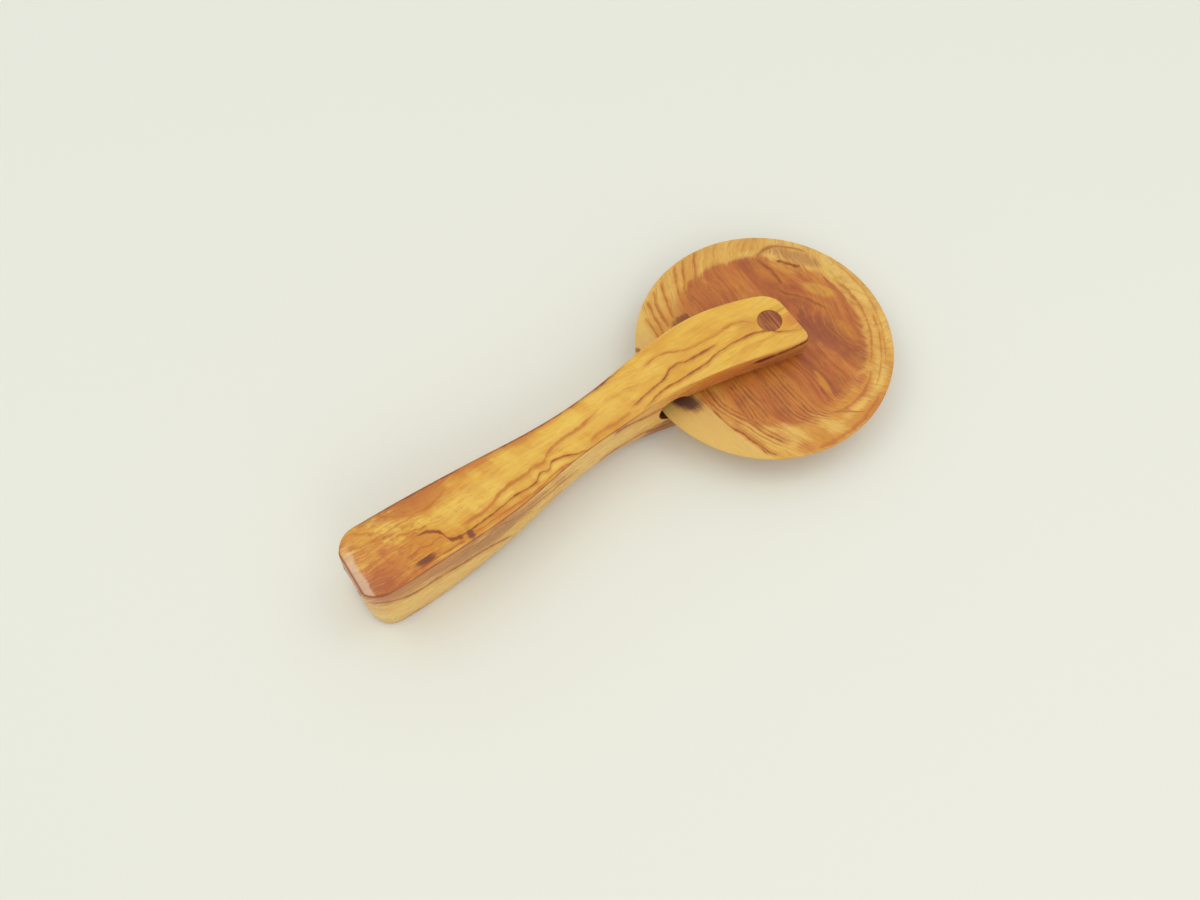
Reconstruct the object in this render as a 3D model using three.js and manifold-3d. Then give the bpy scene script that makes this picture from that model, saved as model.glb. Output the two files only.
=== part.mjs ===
// A wooden pizza cutter lying on its side: a one-piece curved handle with a forked front end, a bevelled
// wooden wheel in the fork's slot, and the dowel that the wheel turns on.
// Millimetres, +Z up along the axle, +X from the butt of the handle towards the wheel.
// The origin is at the middle of the object's bounding box, on the surface that it lies on.

import * as THREE from 'three';
import { LoftGeometry } from 'three/addons/geometries/LoftGeometry.js';
import { mergeVertices } from 'three/addons/utils/BufferGeometryUtils.js';
import Module from 'manifold-3d';

// Cutting wheel
const WHEEL_DIAMETER = 95;
const WHEEL_THICKNESS = 6.4;
const WHEEL_RIM_THICKNESS = 1;
const WHEEL_BEVEL_WIDTH = 12.9;

// Axle dowel and its fits
const AXLE_DIAMETER = 9;
const AXLE_GLUE_GAP = 0.3;
const AXLE_RUNNING_GAP = 0.4;

// Fork: the two cheeks and the slot between them
const LOWER_CHEEK_THICKNESS = 9.2;
const UPPER_CHEEK_THICKNESS = 8.7;
const WHEEL_GAP_BELOW = 0.3;
const WHEEL_GAP_ABOVE = 3.4;
const SLOT_END_GAP = 2.7;
const SLOT_HOLE_OVERSIZE = 2.3;
const NOSE_WALL = 3.6;

// Handle in plan: places along its length, sideways offsets of its middle line, and widths
const BUTT_FROM_SLOT = 119.8;
const GRIP_FROM_SLOT = 65.8;
const NECK_FROM_SLOT = 31.8;
const FORK_FROM_AXLE = 22;
const BUTT_OFFSET = -1;
const GRIP_OFFSET = 0.6;
const NECK_OFFSET = 3.4;
const ROOT_OFFSET = 5.4;
const FORK_OFFSET = 4.6;
const AXLE_OFFSET = -0.3;
const NOSE_OFFSET = -2.9;
const BUTT_WIDTH = 26.6;
const GRIP_WIDTH = 24;
const NECK_WIDTH = 17.6;
const ROOT_WIDTH = 19.7;
const FORK_WIDTH = 24.9;
const AXLE_WIDTH = 24.7;
const NOSE_WIDTH = 22;

// Handle in side view: the waist that is hollowed into its upper and lower faces
const WAIST_DEPTH_TOP = 4;
const WAIST_DEPTH_BELOW = 7.5;
const PALM_LENGTH = 18;
const PALM_TAPER_LENGTH = 57;
const FORK_SHOULDER_LENGTH = 11.5;
const FORK_FLARE_LENGTH = 31;

// Rounded corners and edges of the handle
const LONG_EDGE_RADIUS = 1.6;
const BUTT_EDGE_RADIUS = 4;
const BUTT_FAR_CORNER_RADIUS = 9;
const BUTT_NEAR_CORNER_RADIUS = 8.5;
const NOSE_EDGE_RADIUS = 1.2;
const NOSE_FAR_CORNER_RADIUS = 5;
const NOSE_NEAR_CORNER_RADIUS = 3;
const LEAST_FLAT = 1;

// Facets
const ROUND_SEGMENTS = 72;
const HOLE_SEGMENTS = 48;
const EDGE_STEPS = 3;
const CORNER_STEPS = 6;
const LENGTH_STEPS = 36;

// How far the cutting solids reach past what they cut
const CUT_OVERRUN = 20;

// Finishes
const HANDLE_FINISH = { color: 0xd69a45, roughness: 0.45, metalness: 0 };
const WHEEL_FINISH = { color: 0xc4803f, roughness: 0.5, metalness: 0 };
const DOWEL_FINISH = { color: 0x8c5a30, roughness: 0.55, metalness: 0 };

// Sizes that follow from the ones above
const wheelRadius = WHEEL_DIAMETER / 2;
const axleRadius = AXLE_DIAMETER / 2;
const dowelHoleRadius = axleRadius + AXLE_GLUE_GAP;
const slotHeight = WHEEL_GAP_BELOW + WHEEL_THICKNESS + WHEEL_GAP_ABOVE;
const slotFloor = LOWER_CHEEK_THICKNESS;
const slotHoleRadius = ( slotHeight + SLOT_HOLE_OVERSIZE ) / 2;
const handleThickness = slotFloor + slotHeight + UPPER_CHEEK_THICKNESS;
const wheelMiddle = slotFloor + WHEEL_GAP_BELOW + WHEEL_THICKNESS / 2;
const slotEndX = - wheelRadius - SLOT_END_GAP;
const buttX = slotEndX - BUTT_FROM_SLOT;
const noseX = dowelHoleRadius + NOSE_WALL;
const axleFromOrigin = - ( buttX + wheelRadius ) / 2;
const buttFarRadius = roundingWithin( BUTT_FAR_CORNER_RADIUS, BUTT_WIDTH );
const buttNearRadius = roundingWithin( BUTT_NEAR_CORNER_RADIUS, BUTT_WIDTH );
const noseFarRadius = roundingWithin( NOSE_FAR_CORNER_RADIUS, NOSE_WIDTH );
const noseNearRadius = roundingWithin( NOSE_NEAR_CORNER_RADIUS, NOSE_WIDTH );

const wasm = await Module();
wasm.setup();

// A corner's radius, limited so that two such corners leave a flat between them on this width.
function roundingWithin( radius, width ) {

	return Math.min( radius, ( width - LEAST_FLAT ) / 2 - LONG_EDGE_RADIUS );

}

// Turns a closed three.js geometry into a solid that can be cut.
function toSolid( geometry ) {

	const shell = new THREE.BufferGeometry();
	shell.setAttribute( 'position', geometry.getAttribute( 'position' ) );
	shell.setIndex( geometry.index );
	const merged = mergeVertices( shell );
	return new wasm.Manifold( new wasm.Mesh( {
		numProp: 3,
		vertProperties: new Float32Array( merged.getAttribute( 'position' ).array ),
		triVerts: new Uint32Array( merged.index.array )
	} ) );

}

// Turns a cut solid back into a three.js geometry.
function toGeometry( solid ) {

	const { vertProperties, triVerts } = solid.getMesh();
	const geometry = new THREE.BufferGeometry();
	geometry.setAttribute( 'position', new THREE.BufferAttribute( vertProperties, 3 ) );
	geometry.setIndex( new THREE.BufferAttribute( triVerts, 1 ) );
	geometry.computeVertexNormals();
	return geometry;

}

// A smooth curve of values along the handle's length, through the given [ x, value ] points.
function smoothAlong( points ) {

	const inOrder = points.sort( ( a, b ) => a[ 0 ] - b[ 0 ] );
	const places = inOrder.map( ( point ) => point[ 0 ] );
	const values = inOrder.map( ( point ) => point[ 1 ] );
	const curve = new THREE.CubicInterpolant( places, values, 1, [ 0 ] );
	return ( x ) => curve.evaluate( x )[ 0 ];

}

const handleMiddle = smoothAlong( [
	[ buttX, BUTT_OFFSET ],
	[ buttX + PALM_LENGTH, BUTT_OFFSET ],
	[ slotEndX - GRIP_FROM_SLOT, GRIP_OFFSET ],
	[ slotEndX - NECK_FROM_SLOT, NECK_OFFSET ],
	[ slotEndX, ROOT_OFFSET ],
	[ - FORK_FROM_AXLE, FORK_OFFSET ],
	[ 0, AXLE_OFFSET ],
	[ noseX, NOSE_OFFSET ]
] );

const handleWidth = smoothAlong( [
	[ buttX, BUTT_WIDTH ],
	[ buttX + PALM_LENGTH, BUTT_WIDTH ],
	[ slotEndX - GRIP_FROM_SLOT, GRIP_WIDTH ],
	[ slotEndX - NECK_FROM_SLOT, NECK_WIDTH ],
	[ slotEndX, ROOT_WIDTH ],
	[ - FORK_FROM_AXLE, FORK_WIDTH ],
	[ 0, AXLE_WIDTH ],
	[ noseX, NOSE_WIDTH ]
] );

// Share of the full waist depth at x: none at the palm and the fork, all of it at the neck.
function waistShare( x ) {

	const palmEnd = buttX + PALM_LENGTH;
	const shoulder = slotEndX + FORK_SHOULDER_LENGTH;
	const fromPalm = THREE.MathUtils.smoothstep( x, palmEnd, palmEnd + PALM_TAPER_LENGTH );
	const fromFork = THREE.MathUtils.smoothstep( x, shoulder - FORK_FLARE_LENGTH, shoulder );
	return fromPalm * ( 1 - fromFork );

}

// How far a rounded corner of this radius draws in, at a distance from the end that it rounds.
function drawIn( distance, radius ) {

	const short = Math.max( radius - distance, 0 );
	return radius - Math.sqrt( radius * radius - short * short );

}

// The handle's outline at x: its far and near sides, and its upper and lower faces.
function handleExtents( x ) {

	const fromButt = x - buttX;
	const fromNose = noseX - x;
	const middle = handleMiddle( x );
	const half = handleWidth( x ) / 2;
	const share = waistShare( x );
	const edge = drawIn( fromButt, BUTT_EDGE_RADIUS ) + drawIn( fromNose, NOSE_EDGE_RADIUS );
	const far = drawIn( fromButt, buttFarRadius ) + drawIn( fromNose, noseFarRadius );
	const near = drawIn( fromButt, buttNearRadius ) + drawIn( fromNose, noseNearRadius );
	return {
		far: middle + half - far,
		near: middle - half + near,
		top: handleThickness - share * WAIST_DEPTH_TOP - edge,
		below: share * WAIST_DEPTH_BELOW + edge
	};

}

// One section of the handle: a rectangle with rounded corners, square to the handle's length.
function handleSection( x ) {

	const { far, near, top, below } = handleExtents( x );
	const corners = [
		[ far - LONG_EDGE_RADIUS, top - LONG_EDGE_RADIUS ],
		[ near + LONG_EDGE_RADIUS, top - LONG_EDGE_RADIUS ],
		[ near + LONG_EDGE_RADIUS, below + LONG_EDGE_RADIUS ],
		[ far - LONG_EDGE_RADIUS, below + LONG_EDGE_RADIUS ]
	];
	const points = [];
	corners.forEach( ( [ y, z ], quarter ) => {

		for ( let step = 0; step <= EDGE_STEPS; step ++ ) {

			const angle = ( quarter + step / EDGE_STEPS ) * Math.PI / 2;
			const out = LONG_EDGE_RADIUS * Math.cos( angle );
			const up = LONG_EDGE_RADIUS * Math.sin( angle );
			points.push( new THREE.Vector3( x, y + out, z + up ) );

		}

	} );
	return points;

}

// Places of the sections: close together round both ends, evenly spaced between them.
function sectionPlaces() {

	const buttRound = Math.max( buttFarRadius, buttNearRadius );
	const noseRound = Math.max( noseFarRadius, noseNearRadius );
	const places = [];
	for ( let step = 0; step < CORNER_STEPS; step ++ ) {

		const turn = 1 - Math.cos( step / CORNER_STEPS * Math.PI / 2 );
		places.push( buttX + turn * buttRound );
		places.push( noseX - turn * noseRound );

	}

	const first = buttX + buttRound;
	const last = noseX - noseRound;
	for ( let step = 0; step <= LENGTH_STEPS; step ++ ) {

		places.push( THREE.MathUtils.lerp( first, last, step / LENGTH_STEPS ) );

	}

	return places.sort( ( a, b ) => a - b );

}

// A plain round peg along Y, about the origin.
function makePeg( radius, length ) {

	return new THREE.CylinderGeometry( radius, radius, length, HOLE_SEGMENTS );

}

// Handle: a lofted block with the slot, the drilled hole at the slot's end and the dowel's hole cut out.
// The drilled hole is wider than the slot, and its underside is level with the slot's floor.
function makeHandle() {

	const sections = sectionPlaces().map( handleSection );
	const block = new LoftGeometry( sections, { capStart: true, capEnd: true } );

	const slotHoleX = slotEndX + slotHoleRadius;
	const slotLength = noseX - slotHoleX + CUT_OVERRUN;
	const acrossFork = 2 * ( FORK_WIDTH + CUT_OVERRUN );
	const slot = new THREE.BoxGeometry( slotLength, acrossFork, slotHeight );
	slot.translate( slotHoleX + slotLength / 2, 0, slotFloor + slotHeight / 2 );

	const slotHole = makePeg( slotHoleRadius, acrossFork );
	slotHole.translate( slotHoleX, 0, slotFloor + slotHoleRadius );

	const dowelHole = makePeg( dowelHoleRadius, handleThickness + CUT_OVERRUN );
	dowelHole.rotateX( Math.PI / 2 );
	dowelHole.translate( 0, 0, handleThickness / 2 );

	const solid = toSolid( block )
		.subtract( toSolid( slot ) )
		.subtract( toSolid( slotHole ) )
		.subtract( toSolid( dowelHole ) );
	return toGeometry( solid );

}

// Wheel: a turned disc, flat in the middle and bevelled on both faces to a thin rim, bored for the dowel.
function makeWheel() {

	const boreRadius = axleRadius + AXLE_RUNNING_GAP;
	const flatRadius = wheelRadius - WHEEL_BEVEL_WIDTH;
	const halfHub = WHEEL_THICKNESS / 2;
	const halfRim = WHEEL_RIM_THICKNESS / 2;
	const profile = [
		new THREE.Vector2( boreRadius, - halfHub ),
		new THREE.Vector2( flatRadius, - halfHub ),
		new THREE.Vector2( wheelRadius, - halfRim ),
		new THREE.Vector2( wheelRadius, halfRim ),
		new THREE.Vector2( flatRadius, halfHub ),
		new THREE.Vector2( boreRadius, halfHub ),
		new THREE.Vector2( boreRadius, - halfHub )
	];
	return new THREE.LatheGeometry( profile, ROUND_SEGMENTS ).rotateX( Math.PI / 2 );

}

// Dowel: a peg as long as the handle is thick, flush with both cheeks.
function makeDowel() {

	return makePeg( axleRadius, handleThickness ).rotateX( Math.PI / 2 );

}

function addPiece( name, geometry, finish, height ) {

	const mesh = new THREE.Mesh( geometry, new THREE.MeshStandardMaterial( finish ) );
	mesh.name = name;
	mesh.position.z = height;
	pizzaCutter.add( mesh );

}

const pizzaCutter = new THREE.Group();
pizzaCutter.position.x = axleFromOrigin;

addPiece( 'handle', makeHandle(), HANDLE_FINISH, 0 );
addPiece( 'cutting_wheel', makeWheel(), WHEEL_FINISH, wheelMiddle );
addPiece( 'axle_dowel', makeDowel(), DOWEL_FINISH, handleThickness / 2 );

export default pizzaCutter;
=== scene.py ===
"""A wooden pizza cutter lying on a pale floor: its handle, wheel and dowel, in oiled olive wood.

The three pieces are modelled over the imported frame, in metres: +X runs from the butt of the handle
to the wheel, and +Z goes up along the axle. Grain is placed in millimetres, in the same frame.
"""

from __future__ import annotations

import logging
import math
from collections.abc import Callable, Sequence
from dataclasses import dataclass
from enum import Enum
from typing import Any

import bmesh
import bpy
from mathutils import Color, Matrix, Vector

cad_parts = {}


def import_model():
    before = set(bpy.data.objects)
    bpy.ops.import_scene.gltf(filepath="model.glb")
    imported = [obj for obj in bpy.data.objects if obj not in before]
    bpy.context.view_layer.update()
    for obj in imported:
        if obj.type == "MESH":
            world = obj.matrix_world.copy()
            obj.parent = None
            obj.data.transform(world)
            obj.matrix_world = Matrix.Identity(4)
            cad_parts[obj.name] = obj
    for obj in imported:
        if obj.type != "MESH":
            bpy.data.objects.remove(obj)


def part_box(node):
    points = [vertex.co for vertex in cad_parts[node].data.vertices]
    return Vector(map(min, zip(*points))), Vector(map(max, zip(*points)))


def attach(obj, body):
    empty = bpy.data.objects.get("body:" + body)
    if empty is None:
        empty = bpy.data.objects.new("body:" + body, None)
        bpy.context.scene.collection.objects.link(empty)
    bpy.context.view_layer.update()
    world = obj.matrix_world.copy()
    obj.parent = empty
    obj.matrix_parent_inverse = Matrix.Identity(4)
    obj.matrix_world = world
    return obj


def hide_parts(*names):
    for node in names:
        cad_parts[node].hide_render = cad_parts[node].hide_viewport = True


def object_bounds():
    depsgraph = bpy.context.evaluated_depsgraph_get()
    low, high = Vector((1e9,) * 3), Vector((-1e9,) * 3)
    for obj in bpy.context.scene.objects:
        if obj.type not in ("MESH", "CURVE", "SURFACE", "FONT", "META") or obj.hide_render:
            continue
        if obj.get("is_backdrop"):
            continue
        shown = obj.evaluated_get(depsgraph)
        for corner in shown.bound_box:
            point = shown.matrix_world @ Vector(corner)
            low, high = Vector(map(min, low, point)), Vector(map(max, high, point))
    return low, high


LOG = logging.getLogger("pizza_cutter")
MM = 0.001
WELD = 1e-3 * MM
TOUCH = 0.01 * MM
FLOOR_GAP = 0.05 * MM
LEVEL_NORMAL = 0.99
SHARP_TURN = math.radians(60)

Point = tuple[float, float]
Triple = tuple[float, float, float]
Ring = list[bmesh.types.BMVert]
Height = float | Callable[[float], float]
Role = Callable[[float], Point]


class Tone(Enum):
    """Named colours of the wood and the floor, as red, green and blue from 0 to 255."""

    STRAW = (238, 196, 86)
    HONEY = (232, 182, 66)
    AMBER = (212, 138, 42)
    COPPER = (196, 112, 46)
    RUSSET = (168, 86, 38)
    UMBER = (130, 54, 14)
    MAROON = (96, 28, 32)
    CREAM = (240, 208, 122)
    TAN = (226, 184, 98)
    MAUVE = (184, 122, 62)
    OLIVE = (150, 88, 30)
    WALNUT = (158, 92, 42)
    BRICK = (148, 72, 42)
    GOLD = (226, 172, 76)
    SAND = (236, 192, 94)
    CHESTNUT = (206, 122, 48)
    SIENNA = (182, 96, 36)
    COCOA = (122, 62, 32)
    SEPIA = (150, 72, 18)
    CINNAMON = (188, 108, 34)
    # Pale rose of the painted highlight on the butt's rolled end.
    ROSE_HIGHLIGHT = (224, 192, 160)
    PLUM = (92, 54, 44)
    PAPER = (235, 234, 218)

    @property
    def linear(self) -> tuple[float, float, float, float]:
        """The colour as linear light, opaque."""
        light = Color([level / 255 for level in self.value]).from_srgb_to_scene_linear()
        return (light.r, light.g, light.b, 1.0)


class Face(Enum):
    """The face that a vein is drawn on, and how its points are read there."""

    TOP = "along +X, with heights in +Y"
    SIDE = "along +X, with heights in +Z"
    CROSSWISE = "along +Y, with heights in +X"


class NodeGraph:
    """Makes and links the nodes of one material."""

    MIX_BELOW = 6
    MIX_ABOVE = 7
    MIX_RESULT = 2

    def __init__(self, name: str) -> None:
        """Starts an empty material.

        Args:
            name: The material's name.
        """
        self.material = bpy.data.materials.new(name)
        self.material.use_nodes = True
        self.tree = self.material.node_tree
        self.tree.nodes.clear()

    def feed(self, socket: bpy.types.NodeSocket, value: Any) -> None:
        """Gives a socket its value.

        Args:
            socket: The input to set.
            value: Another node's output to link, or a plain value.
        """
        if isinstance(value, bpy.types.NodeSocket):
            self.tree.links.new(value, socket)
        else:
            socket.default_value = value

    def add(self, kind: str, inputs: dict[Any, Any] | None = None, **settings: Any) -> bpy.types.Node:
        """Adds one node.

        Args:
            kind: The node's type.
            inputs: Values or outputs for its inputs, by name or number.
            settings: The node's own properties.

        Returns:
            The new node.
        """
        node = self.tree.nodes.new(kind)
        for name, setting in settings.items():
            setattr(node, name, setting)
        for key, value in (inputs or {}).items():
            self.feed(node.inputs[key], value)
        return node

    def math(self, operation: str, *values: Any) -> bpy.types.NodeSocket:
        """The result of one sum on numbers."""
        return self.add("ShaderNodeMath", dict(enumerate(values)), operation=operation).outputs[0]

    def vector(self, operation: str, *values: Any) -> bpy.types.NodeSocket:
        """The result of one sum on vectors, a number for a length."""
        node = self.add("ShaderNodeVectorMath", dict(enumerate(values)), operation=operation)
        return node.outputs["Value" if operation == "LENGTH" else "Vector"]

    def scaled(self, vector: Any, factors: Triple) -> bpy.types.NodeSocket:
        """A vector with each part multiplied by its own factor."""
        return self.vector("MULTIPLY", vector, factors)

    def split(self, vector: Any) -> tuple[bpy.types.NodeSocket, ...]:
        """The three parts of a vector."""
        return tuple(self.add("ShaderNodeSeparateXYZ", {0: vector}).outputs)

    def joined(self, x: Any, y: Any, z: Any) -> bpy.types.NodeSocket:
        """A vector made of three numbers."""
        return self.add("ShaderNodeCombineXYZ", {0: x, 1: y, 2: z}).outputs[0]

    def noise(self, vector: Any, detail: float = 2.0, roughness: float = 0.5) -> bpy.types.NodeSocket:
        """Soft noise from about 0 to 1.

        Args:
            vector: Where to read it, one unit for each lump.
            detail: How many finer layers it has.
            roughness: How strong the finer layers are.

        Returns:
            The noise as a number.
        """
        inputs = {"Vector": vector, "Scale": 1.0, "Detail": detail, "Roughness": roughness}
        return self.add("ShaderNodeTexNoise", inputs, noise_dimensions="3D").outputs[0]

    def centred_noise(self, vector: Any, reach: float, detail: float = 2.0) -> bpy.types.NodeSocket:
        """Noise about zero, out to roughly the given reach on both sides."""
        return self.math("MULTIPLY", self.math("SUBTRACT", self.noise(vector, detail), 0.5), 2.0 * reach)

    def step(self, value: Any, low: Any, high: Any) -> bpy.types.NodeSocket:
        """A smooth rise from 0 at low to 1 at high."""
        inputs = {"Value": value, "From Min": low, "From Max": high}
        return self.add("ShaderNodeMapRange", inputs, interpolation_type="SMOOTHSTEP").outputs[0]

    def fall(self, value: Any, low: Any, high: Any) -> bpy.types.NodeSocket:
        """A smooth fall from 1 at low to 0 at high."""
        return self.math("SUBTRACT", 1.0, self.step(value, low, high))

    def product(self, *values: Any) -> bpy.types.NodeSocket:
        """All the values multiplied together.

        Args:
            values: The numbers or outputs.

        Returns:
            Their product.
        """
        result = values[0]
        for value in values[1:]:
            result = self.math("MULTIPLY", result, value)
        return result

    def mix(self, factor: Any, first: Any, second: Any, blend: str = "MIX") -> bpy.types.NodeSocket:
        """One colour laid over another.

        Args:
            factor: How much of the second colour shows.
            first: The colour below.
            second: The colour above.
            blend: How they are combined.

        Returns:
            The mixed colour.
        """
        inputs = {0: factor, self.MIX_BELOW: first, self.MIX_ABOVE: second}
        node = self.add("ShaderNodeMix", inputs, data_type="RGBA", blend_type=blend)
        return node.outputs[self.MIX_RESULT]

    def ramp(self, value: Any, stops: Sequence[tuple[float, Tone]]) -> bpy.types.NodeSocket:
        """A colour that runs through the given stops.

        Args:
            value: The number that picks the colour.
            stops: Places from 0 to 1 with their tones, in order.

        Returns:
            The colour.
        """
        node = self.add("ShaderNodeValToRGB", {0: value})
        elements = node.color_ramp.elements
        while len(elements) < len(stops):
            elements.new(1.0)
        for element, (place, tone) in zip(elements, stops):
            element.position = place
            element.color = tone.linear
        return node.outputs[0]

    def path(self, along: Any, points: Sequence[Point]) -> tuple[bpy.types.NodeSocket, ...]:
        """A smooth line through a few points.

        Args:
            along: The place along the line, in the points' units.
            points: The line's points, with their first numbers rising.

        Returns:
            The line's height at that place, and its own length run from 0 to 1.
        """
        start, end = points[0][0], points[-1][0]
        low = min(point[1] for point in points)
        high = max(point[1] for point in points) + MM
        inputs = {"Value": along, "From Min": start, "From Max": end}
        run = self.add("ShaderNodeMapRange", inputs, clamp=False).outputs[0]
        node = self.add("ShaderNodeFloatCurve", {"Factor": 1.0, "Value": run})
        curve = node.mapping.curves[0]
        while len(curve.points) < len(points):
            curve.points.new(0.5, 0.5)
        for handle, (place, height) in zip(curve.points, points):
            handle.location = ((place - start) / (end - start), (height - low) / (high - low))
        node.mapping.update()
        return self.math("MULTIPLY_ADD", node.outputs[0], high - low, low), run


@dataclass(frozen=True)
class Vein:
    """A growth line that shows on one face, in millimetres.

    Attributes:
        points: Places along the grain with the line's height across it.
        face: The face that it was drawn on.
        half_width: Half the width of its dark core.
        shade: How far its soft side reaches, towards lower heights if negative.
        tone: Its colour.
        strength: How much of the colour shows.
    """

    points: tuple[Point, ...]
    face: Face = Face.TOP
    half_width: float = 0.45
    shade: float = 1.6
    tone: Tone = Tone.UMBER
    strength: float = 0.7


@dataclass(frozen=True)
class Cloud:
    """A soft patch of another tone on the wood, in millimetres: most patches are its grain, a few are
    painted shade.

    Attributes:
        centre: Its middle.
        reach: How far it goes each way.
        tone: Its colour.
        strength: How much of the colour shows in the middle.
        turn: Its turn about +Z, in degrees.
        ragged: How uneven its edge is.
        face: The only face that it shows on, if it keeps to one.
        core: The share of its reach that is all of its colour.
    """

    centre: Triple
    reach: Triple
    tone: Tone
    strength: float
    turn: float = 0.0
    ragged: float = 0.5
    face: Face | None = None
    core: float = 0.15


@dataclass(frozen=True)
class Rings:
    """One set of growth rings.

    Attributes:
        spacing: Their usual width, in millimetres.
        seed: A number that picks other rings.
        strength: How much of their colour shows.
    """

    spacing: float
    seed: float
    strength: float


@dataclass(frozen=True)
class Fibres:
    """Fine dark fibres in the wood.

    Attributes:
        along: How many lumps a millimetre along the grain holds.
        across: How many lumps a millimetre across it holds.
        low: The noise at which a fibre starts to show.
        high: The noise at which it is darkest.
        strength: How much of its colour shows.
    """

    along: float
    across: float
    low: float
    high: float
    strength: float


class OliveWood(NodeGraph):
    """What the three woods share: places in millimetres, rings, veins, clouds and the oiled surface."""

    RELIEF_SHARE = 0.2
    RELIEF_DEPTH = 0.15 * MM
    ROUGHNESS_SPREAD = 0.2
    SHEEN = 0.4

    def __init__(self, name: str) -> None:
        """Starts the material and reads where each point lies.

        Args:
            name: The material's name.
        """
        super().__init__(name)
        source = self.add("ShaderNodeTexCoord")
        self.place = self.scaled(source.outputs["Object"], (1 / MM, 1 / MM, 1 / MM))
        self.x, self.y, self.z = self.split(self.place)
        upright = self.split(source.outputs["Normal"])[2]
        self.upright = self.math("ABSOLUTE", upright)
        self.side = self.fall(self.upright, 0.3, 0.75)
        lumps = self.noise(self.scaled(self.place, (0.23, 0.23, 0.12)), 3.0, 0.6)
        self.patchy = self.step(lumps, 0.25, 0.75)
        self.uneven = self.centred_noise(self.scaled(self.place, (0.15, 0.3, 0.3)), 1.0, 5.0)
        self.hair = self.patchy

    def ring(self, layer: Any, rings: Rings) -> bpy.types.NodeSocket:
        """Growth rings: each darkens slowly, then ends at a sharp edge.

        Args:
            layer: How deep the point lies across the rings, in millimetres.
            rings: The set of rings.

        Returns:
            How dark the ring is, from 0 to 1.
        """
        place = self.joined(self.math("MULTIPLY", layer, 0.4 / rings.spacing), rings.seed, 0.0)
        uneven = self.centred_noise(place, 0.9)
        turn = self.math("ADD", self.math("DIVIDE", layer, rings.spacing), uneven)
        number = self.math("ADD", self.math("FLOOR", turn), rings.seed)
        white = self.add("ShaderNodeTexWhiteNoise", {"W": number}, noise_dimensions="1D").outputs["Value"]
        part = self.math("FRACT", turn)
        profile = self.product(self.math("POWER", part, 2.5), self.fall(part, 0.93, 1.0))
        return self.product(profile, self.math("POWER", white, 1.4))

    def draw_hair(self, along: Any, layer: Any) -> None:
        """Sets the fine lines that shade one side of each vein.

        Args:
            along: The place along the grain.
            layer: How deep the point lies across the growth layers.
        """
        place = self.joined(self.math("MULTIPLY", along, 0.07), self.math("MULTIPLY", layer, 1.4), 7.0)
        lines = self.step(self.noise(place, 3.0, 0.7), 0.42, 0.62)
        self.hair = self.math("MULTIPLY_ADD", lines, 0.5, 0.15)

    def lay_vein(self, colour: Any, vein: Vein, along: Any, across: Any) -> bpy.types.NodeSocket:
        """Draws one growth line over a colour.

        Args:
            colour: The colour below.
            vein: The line.
            along: The place along the grain.
            across: The place across the grain.

        Returns:
            The colour with the line on it.
        """
        height, run = self.path(along, vein.points)
        offset = self.math("SUBTRACT", across, height)
        distance = self.math("ABSOLUTE", offset)
        ends = self.product(self.step(run, -0.02, 0.1), self.fall(run, 0.9, 1.02))
        if vein.face is Face.TOP:
            ends = self.product(ends, self.step(self.upright, 0.25, 0.55))
        width = self.math("MULTIPLY_ADD", self.patchy, 1.3 * vein.half_width, 0.5 * vein.half_width)
        width = self.product(width, self.math("MULTIPLY_ADD", ends, 0.7, 0.3))
        solid = self.math("MULTIPLY", width, 0.3)
        faded = self.math("MULTIPLY_ADD", self.patchy, 0.3, 0.7)
        core = self.product(self.fall(distance, solid, width), faded)
        aside = self.math("MULTIPLY", offset, math.copysign(1.0, vein.shade))
        shade = self.product(self.step(aside, -0.3, 0.2), self.fall(aside, 0.0, abs(vein.shade)), self.hair)
        ends = self.product(ends, vein.strength)
        glow = self.product(self.fall(distance, 0.0, 4.0 * vein.half_width), ends, 0.5)
        colour = self.mix(glow, colour, Tone.AMBER.linear)
        mask = self.product(self.math("MAXIMUM", core, shade), ends)
        return self.mix(mask, colour, vein.tone.linear)

    def lay_cloud(self, colour: Any, cloud: Cloud) -> bpy.types.NodeSocket:
        """Lays one soft patch over a colour.

        Args:
            colour: The colour below.
            cloud: The patch.

        Returns:
            The colour with the patch on it.
        """
        places = zip((self.x, self.y, self.z), cloud.centre)
        x, y, z = (self.math("SUBTRACT", place, middle) for place, middle in places)
        cosine, sine = math.cos(math.radians(cloud.turn)), math.sin(math.radians(cloud.turn))
        turned_x = self.math("MULTIPLY_ADD", x, cosine, self.math("MULTIPLY", y, sine))
        turned_y = self.math("MULTIPLY_ADD", y, cosine, self.math("MULTIPLY", x, -sine))
        local = self.scaled(self.joined(turned_x, turned_y, z), tuple(1 / reach for reach in cloud.reach))
        fibrous = self.math("MULTIPLY_ADD", self.hair, 1.6, self.math("SUBTRACT", self.uneven, 0.6))
        distance = self.math("MULTIPLY_ADD", fibrous, cloud.ragged, self.vector("LENGTH", local))
        mask = self.product(self.fall(distance, cloud.core, 1.15), cloud.strength)
        if cloud.face is Face.SIDE:
            mask = self.product(mask, self.side)
        return self.mix(mask, colour, cloud.tone.linear)

    def lay_fibres(
        self, colour: Any, fibres: Fibres, place: Any, share: Any, dark: Any
    ) -> bpy.types.NodeSocket:
        """Lays fine fibres over a colour, where they darken it.

        Args:
            colour: The colour below.
            fibres: The fibres.
            place: Where their noise is read.
            share: How much of them shows at this place.
            dark: Their colour.

        Returns:
            The colour with the fibres on it.
        """
        shown = self.step(self.noise(place, 4.0, 0.7), fibres.low, fibres.high)
        return self.mix(self.product(shown, share, fibres.strength), colour, dark, "DARKEN")

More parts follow.
